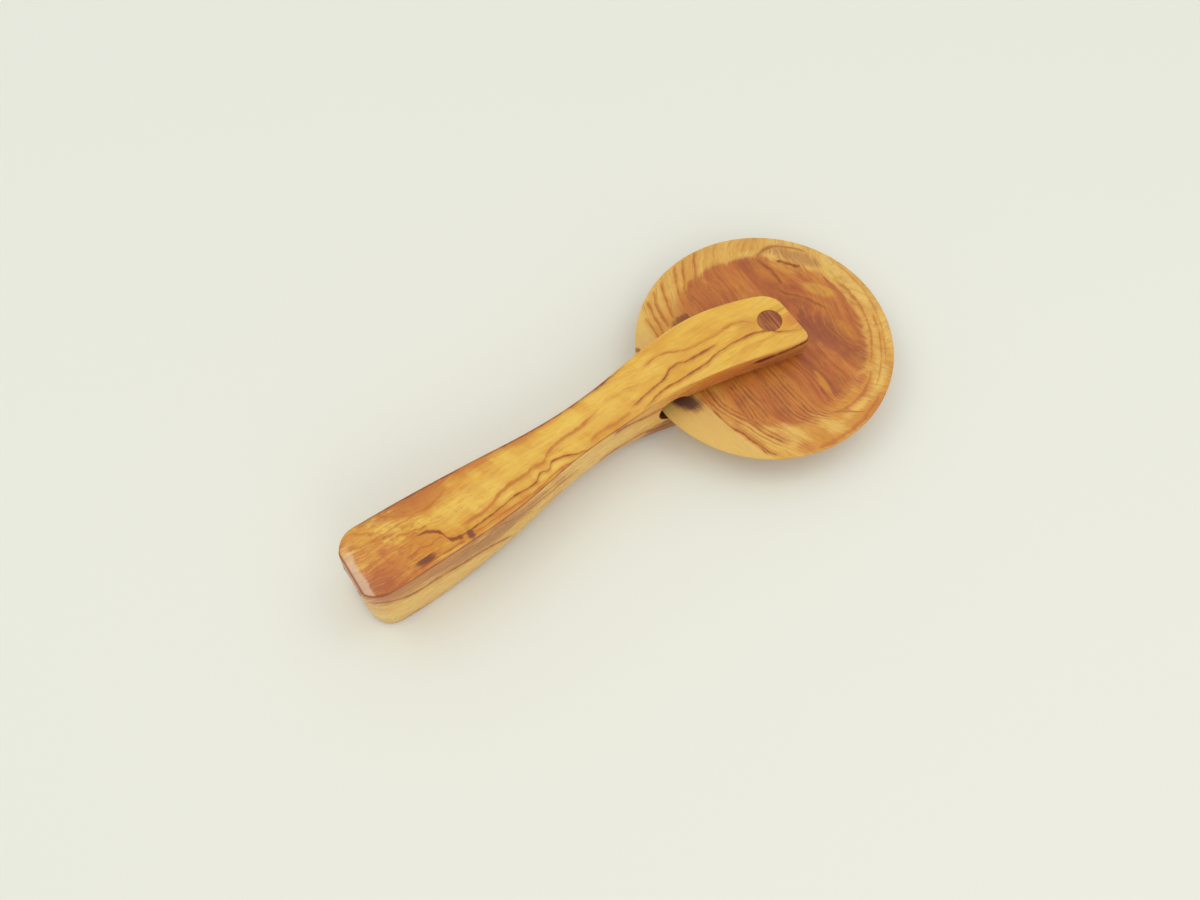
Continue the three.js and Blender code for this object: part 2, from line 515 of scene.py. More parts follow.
    def finish(self, colour: Any, fibre: Any, roughness: float) -> bpy.types.Material:
        """Gives the material its oiled surface.

        Args:
            colour: The wood's colour.
            fibre: Fine relief of the fibres, from 0 to 1.
            roughness: How matt the oil is.

        Returns:
            The finished material.
        """
        relief = {"Strength": self.RELIEF_SHARE, "Distance": self.RELIEF_DEPTH, "Height": fibre}
        bump = self.add("ShaderNodeBump", relief)
        least = roughness - self.ROUGHNESS_SPREAD / 2
        matt = self.math("MULTIPLY_ADD", fibre, self.ROUGHNESS_SPREAD, least)
        inputs = {"Base Color": colour, "Roughness": matt, "Normal": bump.outputs[0]}
        surface = self.add("ShaderNodeBsdfPrincipled", {**inputs, "Specular IOR Level": self.SHEEN})
        output = self.add("ShaderNodeOutputMaterial")
        self.feed(output.inputs["Surface"], surface.outputs[0])
        return self.material


HANDLE_VEINS = (
    Vein(
        (
            (-88.0, 0.8), (-86.2, -0.8), (-84.3, -2.1), (-80.1, -2.7), (-78.4, -3.8), (-76.9, -5.4),
            (-76.2, -7.2), (-75.6, -8.9), (-74.0, -9.6), (-69.8, -9.9), (-65.0, -9.7), (-60.5, -9.1),
            (-55.0, -8.4), (-49.5, -7.4), (-42.6, -7.4), (-40.8, -7.2), (-39.0, -5.7), (-37.2, -5.1),
            (-35.6, -5.5), (-34.4, -5.3), (-33.1, -4.1), (-31.5, -3.5), (-29.7, -3.8), (-26.9, -4.5),
            (-22.6, -6.1), (-17.6, -6.8),
        ),
        half_width=0.45, shade=-1.6, tone=Tone.SEPIA, strength=1.0,
    ),
    Vein(
        (
            (-81.0, -2.7), (-78.4, -3.8), (-76.9, -5.4), (-76.2, -7.2), (-75.5, -8.9), (-74.0, -9.7),
            (-71.0, -10.0),
        ),
        half_width=1.1, shade=-1.2, strength=0.95,
    ),
    Vein(
        (
            (-72.5, -7.2), (-66.6, -6.8), (-62.3, -6.8), (-58.0, -5.8), (-52.3, -3.7), (-46.6, -2.8),
            (-41.9, -2.7), (-39.0, -2.0), (-35.8, -2.2), (-32.6, -0.5), (-29.7, 0.7), (-26.1, 1.6),
            (-17.6, 2.1), (-14.0, 2.7), (-7.6, 4.8),
        ),
        half_width=0.75, shade=-2.0, tone=Tone.CINNAMON, strength=0.8,
    ),
    Vein(
        (
            (-70.0, -11.3), (-63.7, -11.2), (-54.4, -10.5), (-44.7, -10.1), (-37.6, -8.8), (-32.6, -7.7),
            (-25.4, -7.2),
        ),
        half_width=0.45, shade=-1.8, tone=Tone.CINNAMON, strength=0.9,
    ),
    Vein(
        ((-18.0, -5.8), (-16.1, -4.1), (-13.3, -3.5), (-10.8, -3.3), (-5.0, -3.5), (1.0, -2.3)),
        half_width=0.7, shade=-2.4, tone=Tone.CINNAMON, strength=0.7,
    ),
    Vein(
        (
            (0.5, -2.1), (5.3, -0.7), (8.9, 0.0), (11.9, 0.5), (15.4, 1.0), (17.9, 2.0), (20.4, 3.5),
            (23.3, 3.7), (26.1, 3.0), (29.7, 2.6), (34.7, 2.6), (41.0, 2.5),
        ),
        half_width=0.5, shade=-1.8, tone=Tone.SEPIA, strength=0.9,
    ),
    Vein(
        (
            (3.0, -5.4), (8.0, -3.5), (14.0, -2.2), (22.0, -2.0), (28.0, -1.9), (32.0, -1.8),
            (36.0, -0.9), (40.0, -0.4), (46.0, -0.2), (50.4, -0.6), (56.1, -2.0), (61.9, -5.9),
            (65.4, -7.7), (69.4, -9.5),
        ),
        half_width=0.45, shade=-1.8, tone=Tone.SEPIA, strength=0.85,
    ),
    Vein(
        (
            (12.0, 8.6), (16.1, 9.9), (19.7, 10.1), (22.6, 9.6), (25.1, 8.4), (27.6, 7.3), (30.4, 6.4),
            (34.7, 5.9), (43.3, 5.9), (48.0, 6.2), (51.9, 5.5), (54.7, 3.4), (57.0, -0.4),
        ),
        half_width=0.42, shade=2.0, tone=Tone.CINNAMON, strength=0.75,
    ),
    Vein(((63.0, 1.4), (66.0, 1.6), (70.0, 1.5)), half_width=0.35, shade=0.8, strength=0.4),
    Vein(((-104.0, 5.4), (-97.5, 4.0), (-93.0, 3.2), (-89.0, 2.4)), Face.TOP, 0.4, 1.6, Tone.CINNAMON, 0.6),
    Vein(
        ((-93.0, 11.0), (-89.5, 9.6), (-86.5, 7.4), (-82.0, 5.5), (-77.0, 4.8), (-72.0, 5.6), (-67.0, 8.1)),
        half_width=0.5, shade=3.0, tone=Tone.CINNAMON, strength=0.8,
    ),
    Vein(
        (
            (-109.5, 14.0), (-108.6, 17.0), (-107.6, 20.3), (-106.3, 21.6), (-103.3, 21.5), (-99.7, 19.3),
            (-95.6, 17.0), (-91.7, 16.2), (-84.0, 16.0), (-77.3, 14.7), (-68.0, 13.1), (-63.7, 12.0),
            (-59.4, 10.2), (-53.7, 7.4),
        ),
        face=Face.SIDE, half_width=1.0, shade=-1.6, tone=Tone.OLIVE, strength=1.0,
    ),
    Vein(
        (
            (-78.0, 24.3), (-70.9, 22.5), (-65.1, 21.3), (-60.9, 23.4), (-56.6, 21.4), (-51.6, 19.6),
            (-42.0, 17.2), (-30.4, 16.4), (-23.0, 16.0),
        ),
        face=Face.SIDE, half_width=0.6, shade=-2.4, tone=Tone.WALNUT, strength=0.9,
    ),
    Vein(
        ((-52.0, 21.6), (-44.7, 20.4), (-38.3, 19.6), (-28.0, 19.2)),
        face=Face.SIDE, half_width=0.5, shade=-1.6, tone=Tone.WALNUT, strength=0.8,
    ),
    Vein(
        (
            (-26.0, 8.2), (-16.1, 9.3), (-11.9, 11.2), (-7.6, 11.4), (-0.4, 11.2), (5.3, 10.7), (8.9, 9.3),
            (14.0, 8.2),
        ),
        face=Face.SIDE, half_width=0.6, shade=-1.6, strength=0.8,
    ),
    Vein(
        ((-9.0, 23.6), (-4.7, 24.1), (1.0, 22.9), (6.7, 21.9), (14.0, 21.7)),
        face=Face.SIDE, half_width=0.85, shade=-1.0, tone=Tone.SEPIA, strength=1.0,
    ),
    Vein(
        (
            (-103.0, 10.9), (-99.0, 11.9), (-75.0, 11.8), (-50.0, 11.1), (-30.0, 10.3), (-10.0, 11.3),
            (10.0, 14.3),
        ),
        half_width=0.6, shade=-1.4, tone=Tone.COCOA, strength=0.95,
    ),
    Vein(
        ((-108.0, -6.7), (-107.0, -10.2), (-105.0, -12.5), (-102.0, -13.8), (-96.0, -14.1)),
        half_width=0.55, shade=1.2, tone=Tone.BRICK, strength=0.9,
    ),
    Vein(
        ((2.0, 7.8), (6.0, 6.6), (10.0, 5.0), (15.0, 3.4), (20.0, 2.4)),
        face=Face.SIDE, half_width=0.7, shade=-1.4, tone=Tone.COCOA, strength=0.95,
    ),
    Vein(((5.0, 9.6), (9.0, 8.6), (13.0, 7.4), (18.0, 6.4)), Face.SIDE, 0.6, -1.2, Tone.COCOA, 0.9),
    Vein(
        ((46.0, 25.0), (53.0, 25.2), (60.0, 25.6), (66.0, 25.9), (73.0, 25.6)),
        face=Face.SIDE, half_width=1.1, shade=-2.6, tone=Tone.MAROON, strength=1.0,
    ),
    Vein(
        ((-90.5, 0.6), (-88.5, 1.2), (-86.5, 0.4), (-84.0, 0.2), (-81.5, -0.7), (-79.0, -0.4)),
        half_width=0.35, shade=-0.8, tone=Tone.CINNAMON, strength=0.75,
    ),
    Vein(
        ((-91.0, -6.6), (-88.0, -7.0), (-85.0, -6.5), (-82.0, -7.2), (-79.0, -6.6), (-76.6, -7.2)),
        half_width=0.35, shade=-1.0, tone=Tone.RUSSET, strength=0.7,
    ),
    Vein(
        ((-90.0, -12.2), (-86.0, -12.6), (-82.0, -12.2), (-77.0, -12.3), (-71.0, -12.0)),
        half_width=0.4, shade=1.2, tone=Tone.RUSSET, strength=0.8,
    ),
)

HANDLE_CLOUDS = (
    Cloud((-46.0, 2.0, 26.0), (40.0, 7.5, 8.0), Tone.STRAW, 0.6),
    Cloud((40.0, 6.0, 28.0), (24.0, 8.0, 6.0), Tone.HONEY, 0.55),
    Cloud((-97.0, -2.0, 28.0), (20.0, 10.0, 6.0), Tone.AMBER, 0.75, turn=-20.0, ragged=0.7),
    Cloud((-78.0, 10.6, 28.0), (16.0, 7.4, 12.0), Tone.COPPER, 0.85, ragged=0.3, core=0.4),
    Cloud((-80.0, 13.0, 28.0), (18.0, 4.4, 12.0), Tone.RUSSET, 0.8, ragged=0.3),
    Cloud((-57.0, 12.0, 27.0), (15.0, 4.6, 10.0), Tone.COPPER, 0.9),
    Cloud((-34.0, 12.0, 25.0), (16.0, 3.2, 10.0), Tone.COPPER, 0.8),
    Cloud((-98.0, -11.0, 28.0), (24.0, 12.0, 8.0), Tone.COPPER, 1.0, turn=-24.0, ragged=0.8),
    Cloud((-82.0, -7.0, 28.0), (16.0, 6.0, 6.0), Tone.AMBER, 0.8),
    Cloud((-103.0, -12.5, 28.0), (14.0, 8.0, 8.0), Tone.RUSSET, 0.8, turn=-38.0, ragged=0.6),
    Cloud((-58.0, -10.5, 26.0), (20.0, 4.0, 6.0), Tone.COPPER, 0.35, turn=8.0),
    Cloud((-20.0, 5.0, 25.0), (16.0, 6.0, 8.0), Tone.STRAW, 0.6),
    Cloud((-9.0, 2.0, 24.5), (9.0, 5.0, 8.0), Tone.STRAW, 0.55),
    Cloud((-70.0, -1.0, 27.0), (11.0, 5.0, 8.0), Tone.STRAW, 0.6),
    Cloud((25.0, 3.0, 28.0), (17.0, 8.0, 6.0), Tone.AMBER, 0.35),
    Cloud((-2.0, -1.0, 25.0), (18.0, 6.0, 8.0), Tone.AMBER, 0.25),
    Cloud((53.0, 4.0, 28.0), (5.0, 3.4, 4.0), Tone.MAUVE, 0.3),
    Cloud((66.0, -3.0, 28.0), (7.0, 8.0, 6.0), Tone.AMBER, 0.5),
    Cloud((71.0, -4.5, 28.0), (7.0, 5.0, 6.0), Tone.CHESTNUT, 0.6, turn=-20.0, core=0.4),
    Cloud((73.5, 4.0, 28.0), (3.0, 8.0, 6.0), Tone.CHESTNUT, 0.45, core=0.3),
    Cloud((-86.0, -14.0, 24.0), (32.0, 5.0, 6.0), Tone.MAUVE, 0.8, face=Face.SIDE, core=0.5),
    Cloud((-62.0, -12.0, 18.5), (24.0, 8.0, 6.0), Tone.WALNUT, 0.75, turn=4.0, face=Face.SIDE, core=0.4),
    Cloud((-96.0, -13.0, 1.0), (6.0, 8.0, 2.2), Tone.WALNUT, 0.9, face=Face.SIDE, core=0.4),
    Cloud((-90.0, -13.0, 7.0), (40.0, 8.0, 10.0), Tone.CREAM, 0.5, face=Face.SIDE),
    Cloud((-16.0, -6.0, 13.0), (24.0, 6.0, 12.0), Tone.CREAM, 0.4, face=Face.SIDE),
    Cloud((36.0, -8.0, 23.0), (34.0, 7.0, 12.0), Tone.COPPER, 0.9, turn=-8.0, ragged=0.3, face=Face.SIDE),
    Cloud((60.0, -13.0, 22.0), (24.0, 8.0, 8.0), Tone.BRICK, 0.8, turn=-8.0, ragged=0.3, face=Face.SIDE),
    # Painted shade: these two patches darken the lower cheek's near side beside the slot, where the wheel's
    # rim shades it.
    Cloud((12.0, -5.0, 4.0), (10.0, 6.0, 6.0), Tone.BRICK, 0.8, face=Face.SIDE, core=0.3),
    Cloud((14.0, -5.0, 5.0), (7.0, 6.0, 4.5), Tone.COCOA, 0.75, face=Face.SIDE, core=0.4),
    Cloud((72.0, -10.0, 24.0), (6.0, 5.0, 6.0), Tone.BRICK, 0.85, face=Face.SIDE, core=0.4),
)

HANDLE_KNOTS = (
    Cloud((-86.0, -10.9, 28.0), (3.6, 1.3, 3.0), Tone.COCOA, 0.95, ragged=0.6, core=0.5),
    Cloud((-68.8, -10.6, 27.0), (1.5, 2.4, 4.0), Tone.COCOA, 0.9, ragged=0.4, core=0.5),
)


class HandleWood(OliveWood):
    """The handle's wood: honey yellow, with amber clouds and brown veins along its length."""

    SIDE_LEAN = 0.25
    TOP_LEAN = 0.35
    LAYER_LEAN = 0.8
    SIDE_PLACE = -12.0
    ROUGHNESS = 0.28
    RINGS = (Rings(3.6, 11.0, 0.45), Rings(1.1, 40.0, 0.3))
    FIBRES = (
        (Fibres(0.16, 1.2, 0.46, 0.66, 0.45), Tone.COPPER),
        (Fibres(0.4, 2.4, 0.54, 0.68, 0.5), Tone.RUSSET),
    )

    def __init__(self, top: float, hole: Triple) -> None:
        """Starts the handle's wood.

        Args:
            top: The height of the handle's upper face, in millimetres.
            hole: The place along, the height and the radius of the hole at the slot's end, in millimetres.
        """
        super().__init__("handle_olive_wood")
        self.top = top
        self.hole = hole

    def across(self, face: Face) -> bpy.types.NodeSocket:
        """The place across the grain on one face, leaning with depth as the layers do.

        Args:
            face: The face.

        Returns:
            The place in millimetres, a little uneven.
        """
        reach = 0.5 if face is Face.TOP else 0.2
        wander = self.centred_noise(self.scaled(self.place, (0.3, 0.3, 0.3)), reach, 4.0)
        if face is Face.TOP:
            depth = self.math("SUBTRACT", self.z, self.top)
            level = self.math("MULTIPLY_ADD", depth, self.TOP_LEAN, self.y)
        else:
            depth = self.math("SUBTRACT", self.y, self.SIDE_PLACE)
            level = self.math("MULTIPLY_ADD", depth, self.SIDE_LEAN, self.z)
        return self.math("ADD", level, wander)

    def ground(self) -> bpy.types.NodeSocket:
        """The wood's own colour: cloudy yellow, paler on the sides, with a slanting figure at the grip.

        Returns:
            The colour, before any mark.
        """
        broad = self.noise(self.scaled(self.place, (0.035, 0.12, 0.12)), 3.0, 0.55)
        colour = self.ramp(broad, ((0.3, Tone.AMBER), (0.46, Tone.HONEY), (0.66, Tone.STRAW)))
        colour = self.mix(self.product(self.side, 0.6), colour, Tone.TAN.linear)
        slant = self.math("MULTIPLY", self.math("MULTIPLY_ADD", self.y, 0.5, self.x), 0.16)
        figure = self.noise(self.joined(slant, self.math("MULTIPLY", self.y, 0.06), self.z), 2.0)
        behind = self.math("MULTIPLY_ADD", self.fall(self.x, -20.0, 10.0), 0.45, 0.15)
        colour = self.mix(self.product(self.step(figure, 0.44, 0.68), behind), colour, Tone.AMBER.linear)
        return self.mix(self.product(self.fall(figure, 0.32, 0.52), behind), colour, Tone.STRAW.linear)

    def busyness(self) -> bpy.types.NodeSocket:
        """How much of the rings and fibres shows: all of it at the butt, less along the top and sides.

        Returns:
            The share, from 0 to 1.
        """
        butt = self.math("MULTIPLY_ADD", self.fall(self.x, -85.0, -60.0), 0.5, 0.5)
        least = self.math("MAXIMUM", self.product(self.side, 0.65), butt)
        return self.math("MINIMUM", least, self.math("MULTIPLY_ADD", self.side, -0.35, 1.0))

    def mark(self, colour: Any) -> bpy.types.NodeSocket:
        """Lays the growth rings, clouds, veins, fibres and knots over a colour.

        Args:
            colour: The wood's own colour.

        Returns:
            The colour with all of them on it.
        """
        warp = self.centred_noise(self.scaled(self.place, (0.03, 0.07, 0.07)), 5.0, 3.0)
        layer = self.math("ADD", self.math("MULTIPLY_ADD", self.z, self.LAYER_LEAN, self.y), warp)
        self.draw_hair(self.x, layer)
        busy = self.busyness()
        for rings in self.RINGS:
            shown = self.product(self.ring(layer, rings), busy, rings.strength)
            colour = self.mix(shown, colour, Tone.RUSSET.linear)
        for cloud in HANDLE_CLOUDS:
            colour = self.lay_cloud(colour, cloud)
        levels = {face: self.across(face) for face in (Face.TOP, Face.SIDE)}
        for vein in HANDLE_VEINS:
            colour = self.lay_vein(colour, vein, self.x, levels[vein.face])

        for fibres, tone in self.FIBRES:
            along = self.math("MULTIPLY", self.x, fibres.along)
            place = self.joined(along, self.math("MULTIPLY", layer, fibres.across), self.z)
            colour = self.lay_fibres(colour, fibres, place, busy, tone.linear)
        lumps = self.step(self.noise(self.scaled(self.place, (0.4, 0.6, 0.4)), 5.0, 0.65), 0.46, 0.66)
        mottle = self.product(lumps, self.fall(self.x, -92.0, -70.0), self.fall(self.side, 0.0, 0.4), 0.5)
        colour = self.mix(mottle, colour, Tone.RUSSET.linear, "DARKEN")
        for knot in HANDLE_KNOTS:
            colour = self.lay_cloud(colour, knot)
        return colour

    def wear_and_painted_light(self, colour: Any) -> bpy.types.NodeSocket:
        """Paints a pale highlight on the butt's rolled end, darkens the long edges and paints shade into the
        drilled hole.

        Args:
            colour: The marked wood.

        Returns:
            The colour with edge wear, a painted highlight and painted shade.
        """
        # Painted highlight: a pale rose strip on the butt's rolled end, where a lamp's reflection falls on
        # the oil.
        wavy = self.math("MULTIPLY_ADD", self.uneven, 1.2, self.x)
        roll = self.product(self.fall(wavy, -105.3, -104.1), self.step(self.upright, 0.72, 0.84))
        colour = self.mix(self.product(roll, self.fall(self.y, 1.0, 9.0), 0.65), colour, Tone.ROSE_HIGHLIGHT.linear)
        arris = self.product(self.fall(self.x, -107.7, -107.1), 0.85)
        colour = self.mix(self.product(arris, self.step(self.upright, 0.5, 0.7)), colour, Tone.BRICK.linear)
        rounding = self.product(self.step(self.upright, 0.03, 0.2), self.fall(self.upright, 0.62, 0.82))
        worn = self.math("MULTIPLY_ADD", self.fall(self.x, -4.0, 12.0), 0.9, 0.1)
        stain = self.product(self.math("MULTIPLY_ADD", self.patchy, 0.4, 0.5), worn)
        colour = self.mix(self.product(rounding, stain), colour, Tone.BRICK.linear)
        # Painted shade: dark maroon inside the drilled hole at the slot's end, where the recess lies in
        # shadow.
        along, height, radius = self.hole
        ahead, above = self.math("SUBTRACT", self.x, along), self.math("SUBTRACT", self.z, height)
        hole_shade = self.fall(self.vector("LENGTH", self.joined(ahead, 0.0, above)), radius + 0.05, radius + 0.4)
        return self.mix(self.product(hole_shade, 0.92), colour, Tone.MAROON.linear)

    def build(self) -> bpy.types.Material:
        """Builds the whole material.

        Returns:
            The handle's material.
        """
        colour = self.wear_and_painted_light(self.mark(self.ground()))
        fibre = self.noise(self.scaled(self.place, (0.12, 3.0, 3.0)), 3.0, 0.6)
        return self.finish(colour, fibre, self.ROUGHNESS)


SAPWOOD_EDGE = (
    (-48.0, 40.0), (-42.0, 36.5), (-35.0, 33.2), (-28.0, 31.0), (-20.0, 28.8), (-10.0, 27.0), (0.0, 26.3),
    (10.0, 26.5), (20.0, 27.4), (28.0, 28.8), (35.0, 30.4), (42.0, 33.0), (48.0, 36.0),
)

WHEEL_LINES = (
    ((-38.0, 34.6), (-32.0, 33.0), (-27.0, 31.5), (-23.0, 29.8), (-18.0, 28.6), (-12.0, 28.0)),
    ((-40.0, 37.0), (-36.0, 35.0), (-31.0, 33.0), (-26.5, 31.4), (-22.0, 29.6)),
    (
        (-39.0, 42.5), (-35.0, 40.2), (-30.0, 37.6), (-24.0, 35.2), (-21.0, 33.8), (-17.0, 32.1),
        (-13.0, 30.9), (-7.0, 30.6),
    ),
    ((-25.0, 37.2), (-20.0, 38.0), (-14.0, 38.4), (-8.0, 38.2)),
    ((-28.0, 42.0), (-23.0, 42.3), (-18.0, 42.0), (-12.0, 41.6), (-6.0, 41.4)),
    ((-39.0, 56.0), (-35.0, 53.0), (-31.0, 50.6), (-26.0, 50.0), (-20.0, 50.0), (-13.0, 49.6)),
    (
        (-39.0, 62.0), (-35.5, 58.0), (-33.0, 56.2), (-29.0, 55.5), (-24.0, 55.0), (-17.0, 54.6),
        (-9.0, 54.5),
    ),
    ((-43.5, 74.0), (-41.0, 69.5), (-39.0, 66.0), (-37.0, 62.0)),
    ((21.0, 29.4), (27.0, 30.0), (33.0, 30.9)),
    ((21.0, 31.2), (26.0, 32.5), (30.0, 33.3), (35.0, 34.6), (39.0, 35.8)),
    ((23.0, 35.0), (27.0, 35.6), (33.0, 36.7), (38.0, 38.6), (41.5, 40.3)),
    ((25.0, 38.0), (31.0, 40.0), (35.0, 41.5), (39.0, 43.1), (43.5, 45.3)),
    ((27.0, 44.8), (31.0, 45.6), (36.0, 47.6), (40.0, 49.6), (44.0, 52.0), (46.5, 53.8)),
    ((33.0, 48.5), (38.0, 52.0), (43.0, 55.2), (47.0, 57.8)),
    ((34.0, 54.5), (39.0, 58.0), (44.0, 61.2), (47.4, 63.6)),
)


def shifted(line: Sequence[Point], shift: float) -> tuple[Point, ...]:
    """A line with all its heights moved by the same step."""
    return tuple((place, height + shift) for place, height in line)


WHEEL_VEINS = (
    *(Vein(line, Face.CROSSWISE, 0.4, 1.4, Tone.BRICK, 0.85) for line in WHEEL_LINES[:8]),
    *(Vein(line, Face.CROSSWISE, 0.6, 1.8, Tone.CINNAMON, 0.95) for line in WHEEL_LINES[8:]),
    *(
        Vein(shifted(line, shift), Face.CROSSWISE, 0.28, 0.9, Tone.BRICK, 0.7)
        for line in WHEEL_LINES[2:7]
        for shift in (-1.7, 1.5)
    ),
    Vein(((15.0, 80.8), (20.0, 81.5), (25.0, 81.0), (30.5, 80.3)), Face.CROSSWISE, 0.8, -1.6, strength=0.7),
    Vein(
        ((-3.0, 88.3), (3.0, 86.0), (8.0, 83.0), (12.0, 79.5), (16.0, 78.0)),
        Face.CROSSWISE, 0.8, -2.4, strength=0.6,
    ),
    Vein(((18.0, 91.8), (22.0, 88.6), (25.6, 86.0)), Face.CROSSWISE, 1.3, 1.4, strength=0.95),
    Vein(
        ((-23.6, 90.5), (-22.0, 88.0), (-19.0, 85.6), (-15.0, 84.5), (-9.0, 84.6)),
        Face.CROSSWISE, 0.5, -1.8, strength=0.65,
    ),
    Vein(
        ((79.5, 30.3), (84.0, 32.0), (88.0, 32.5), (91.0, 31.5), (94.0, 29.0), (97.0, 26.0), (99.5, 22.5)),
        Face.TOP, 0.8, -1.8, Tone.OLIVE, 0.7,
    ),
    Vein(
        ((-33.0, 91.0), (-25.0, 97.5), (-16.0, 102.5), (-6.0, 105.6), (4.0, 106.3), (14.0, 104.8)),
        Face.CROSSWISE, 0.4, -1.0, Tone.CINNAMON, 0.5,
    ),
    Vein(
        ((-30.0, 86.0), (-24.0, 92.0), (-16.0, 97.0), (-8.0, 99.8), (0.0, 100.3), (8.0, 99.5)),
        Face.CROSSWISE, 0.7, -2.0, Tone.CINNAMON, 0.8,
    ),
    Vein(
        ((-38.0, 82.0), (-33.0, 88.5), (-27.0, 94.0), (-20.0, 98.8), (-12.0, 102.0)),
        Face.CROSSWISE, 0.5, 1.4, Tone.CINNAMON, 0.7,
    ),
    Vein(
        ((62.0, -37.0), (68.0, -38.6), (75.0, -37.8), (81.0, -35.0), (86.0, -31.0)),
        Face.TOP, 0.7, -2.0, Tone.SIENNA, 0.75,
    ),
    Vein(
        ((50.0, -45.0), (57.0, -46.0), (66.0, -45.8), (75.0, -43.6), (84.0, -39.5)),
        Face.TOP, 0.8, 1.6, Tone.SIENNA, 0.7,
    ),
)

WHEEL_CLOUDS = (
    Cloud((68.0, -40.0, 14.0), (26.0, 9.0, 5.0), Tone.AMBER, 0.85, turn=8.0, core=0.5),
    Cloud((36.0, 36.0, 14.0), (16.0, 10.0, 5.0), Tone.SAND, 0.75, turn=40.0, core=0.4),
    Cloud((93.5, 23.5, 14.0), (4.0, 13.0, 5.0), Tone.MAUVE, 0.75, turn=34.0, core=0.4),
    Cloud((55.0, 28.0, 15.5), (18.0, 7.0, 5.0), Tone.CHESTNUT, 0.6),
    Cloud((23.0, -5.0, 14.0), (6.0, 8.0, 5.0), Tone.CHESTNUT, 0.6, turn=26.0, ragged=0.3),
    Cloud((29.0, -7.0, 14.0), (3.4, 7.0, 5.0), Tone.SIENNA, 0.75, ragged=0.4, core=0.3),
    # Partly a dark knot and partly painted shadow of the upper cheek, on the wheel beside the slot.
    Cloud((22.0, -4.0, 14.0), (3.6, 8.0, 5.0), Tone.PLUM, 0.95, turn=27.0, ragged=0.25, core=0.5),
    Cloud((32.0, -25.0, 14.0), (1.5, 12.0, 4.0), Tone.CINNAMON, 0.6, turn=17.0, ragged=0.5),
    Cloud((42.0, -34.0, 14.0), (3.0, 6.0, 4.0), Tone.COPPER, 0.5, turn=28.0, ragged=0.6),
    Cloud((102.5, -19.0, 13.0), (13.0, 2.6, 4.0), Tone.SAND, 0.75, turn=66.0, ragged=0.4, core=0.4),
    Cloud((78.0, 25.0, 15.5), (4.0, 7.0, 4.0), Tone.AMBER, 0.4, ragged=0.4),
    Cloud((31.2, -7.5, 15.0), (1.4, 5.0, 4.0), Tone.UMBER, 0.7, ragged=0.4),
    Cloud((40.5, 23.0, 15.5), (5.0, 2.6, 4.0), Tone.UMBER, 0.8, ragged=0.4, core=0.45),
    Cloud((20.6, 22.8, 13.0), (1.0, 2.2, 3.0), Tone.BRICK, 0.8, ragged=0.3, core=0.4),
    Cloud((47.5, -36.5, 14.5), (1.6, 7.0, 3.0), Tone.SAND, 0.75, turn=28.0, ragged=0.6, core=0.3),
    Cloud((60.0, -41.5, 14.0), (3.0, 8.0, 3.0), Tone.SAND, 0.8, turn=35.0, ragged=0.6, core=0.3),
    Cloud((46.5, -42.0, 13.5), (3.4, 5.0, 3.0), Tone.COPPER, 0.6, turn=30.0, ragged=0.6),
    Cloud((78.0, -44.0, 13.5), (11.0, 1.8, 3.0), Tone.COPPER, 0.6, turn=18.0, ragged=0.4),
    Cloud((73.0, -40.0, 14.0), (11.0, 2.2, 3.0), Tone.SAND, 0.85, turn=10.0, ragged=0.5),
    Cloud((86.0, -36.0, 14.0), (10.0, 2.4, 3.0), Tone.SAND, 0.9, turn=32.0, ragged=0.5),
    Cloud((80.0, -32.0, 15.0), (6.0, 2.0, 4.0), Tone.COPPER, 0.9, turn=20.0, ragged=0.5),
    Cloud((91.0, -30.0, 14.0), (9.0, 2.6, 3.0), Tone.SAND, 0.85, turn=42.0, ragged=0.5),
    Cloud((97.0, -17.0, 14.0), (9.0, 3.0, 3.0), Tone.SAND, 0.75, turn=58.0, ragged=0.5),
    Cloud((103.0, 4.0, 14.0), (3.4, 16.0, 3.0), Tone.SAND, 0.95, ragged=0.4, core=0.6),
    Cloud((79.0, 34.5, 14.5), (6.0, 2.2, 3.0), Tone.SAND, 0.8, turn=-15.0, ragged=0.4),
    Cloud((86.8, 21.5, 15.5), (3.0, 6.4, 4.0), Tone.HONEY, 0.4, turn=30.0, ragged=0.2, core=0.6),
    Cloud((91.0, 6.0, 15.5), (2.6, 7.0, 4.0), Tone.HONEY, 0.52, turn=33.0, ragged=0.2, core=0.6),
    Cloud((88.5, -13.5, 15.5), (3.0, 6.5, 4.0), Tone.AMBER, 0.65, turn=10.0, ragged=0.3, core=0.45),
    # Painted shadow of the handle's nose, laid on the wheel as a brick patch.
    Cloud((80.5, -9.0, 15.5), (6.0, 15.0, 5.0), Tone.BRICK, 0.75, turn=12.0, ragged=0.5, core=0.3),
    Cloud((67.2, -26.5, 15.5), (1.6, 6.4, 4.0), Tone.AMBER, 0.9, turn=-5.0, ragged=0.35, core=0.45),
)


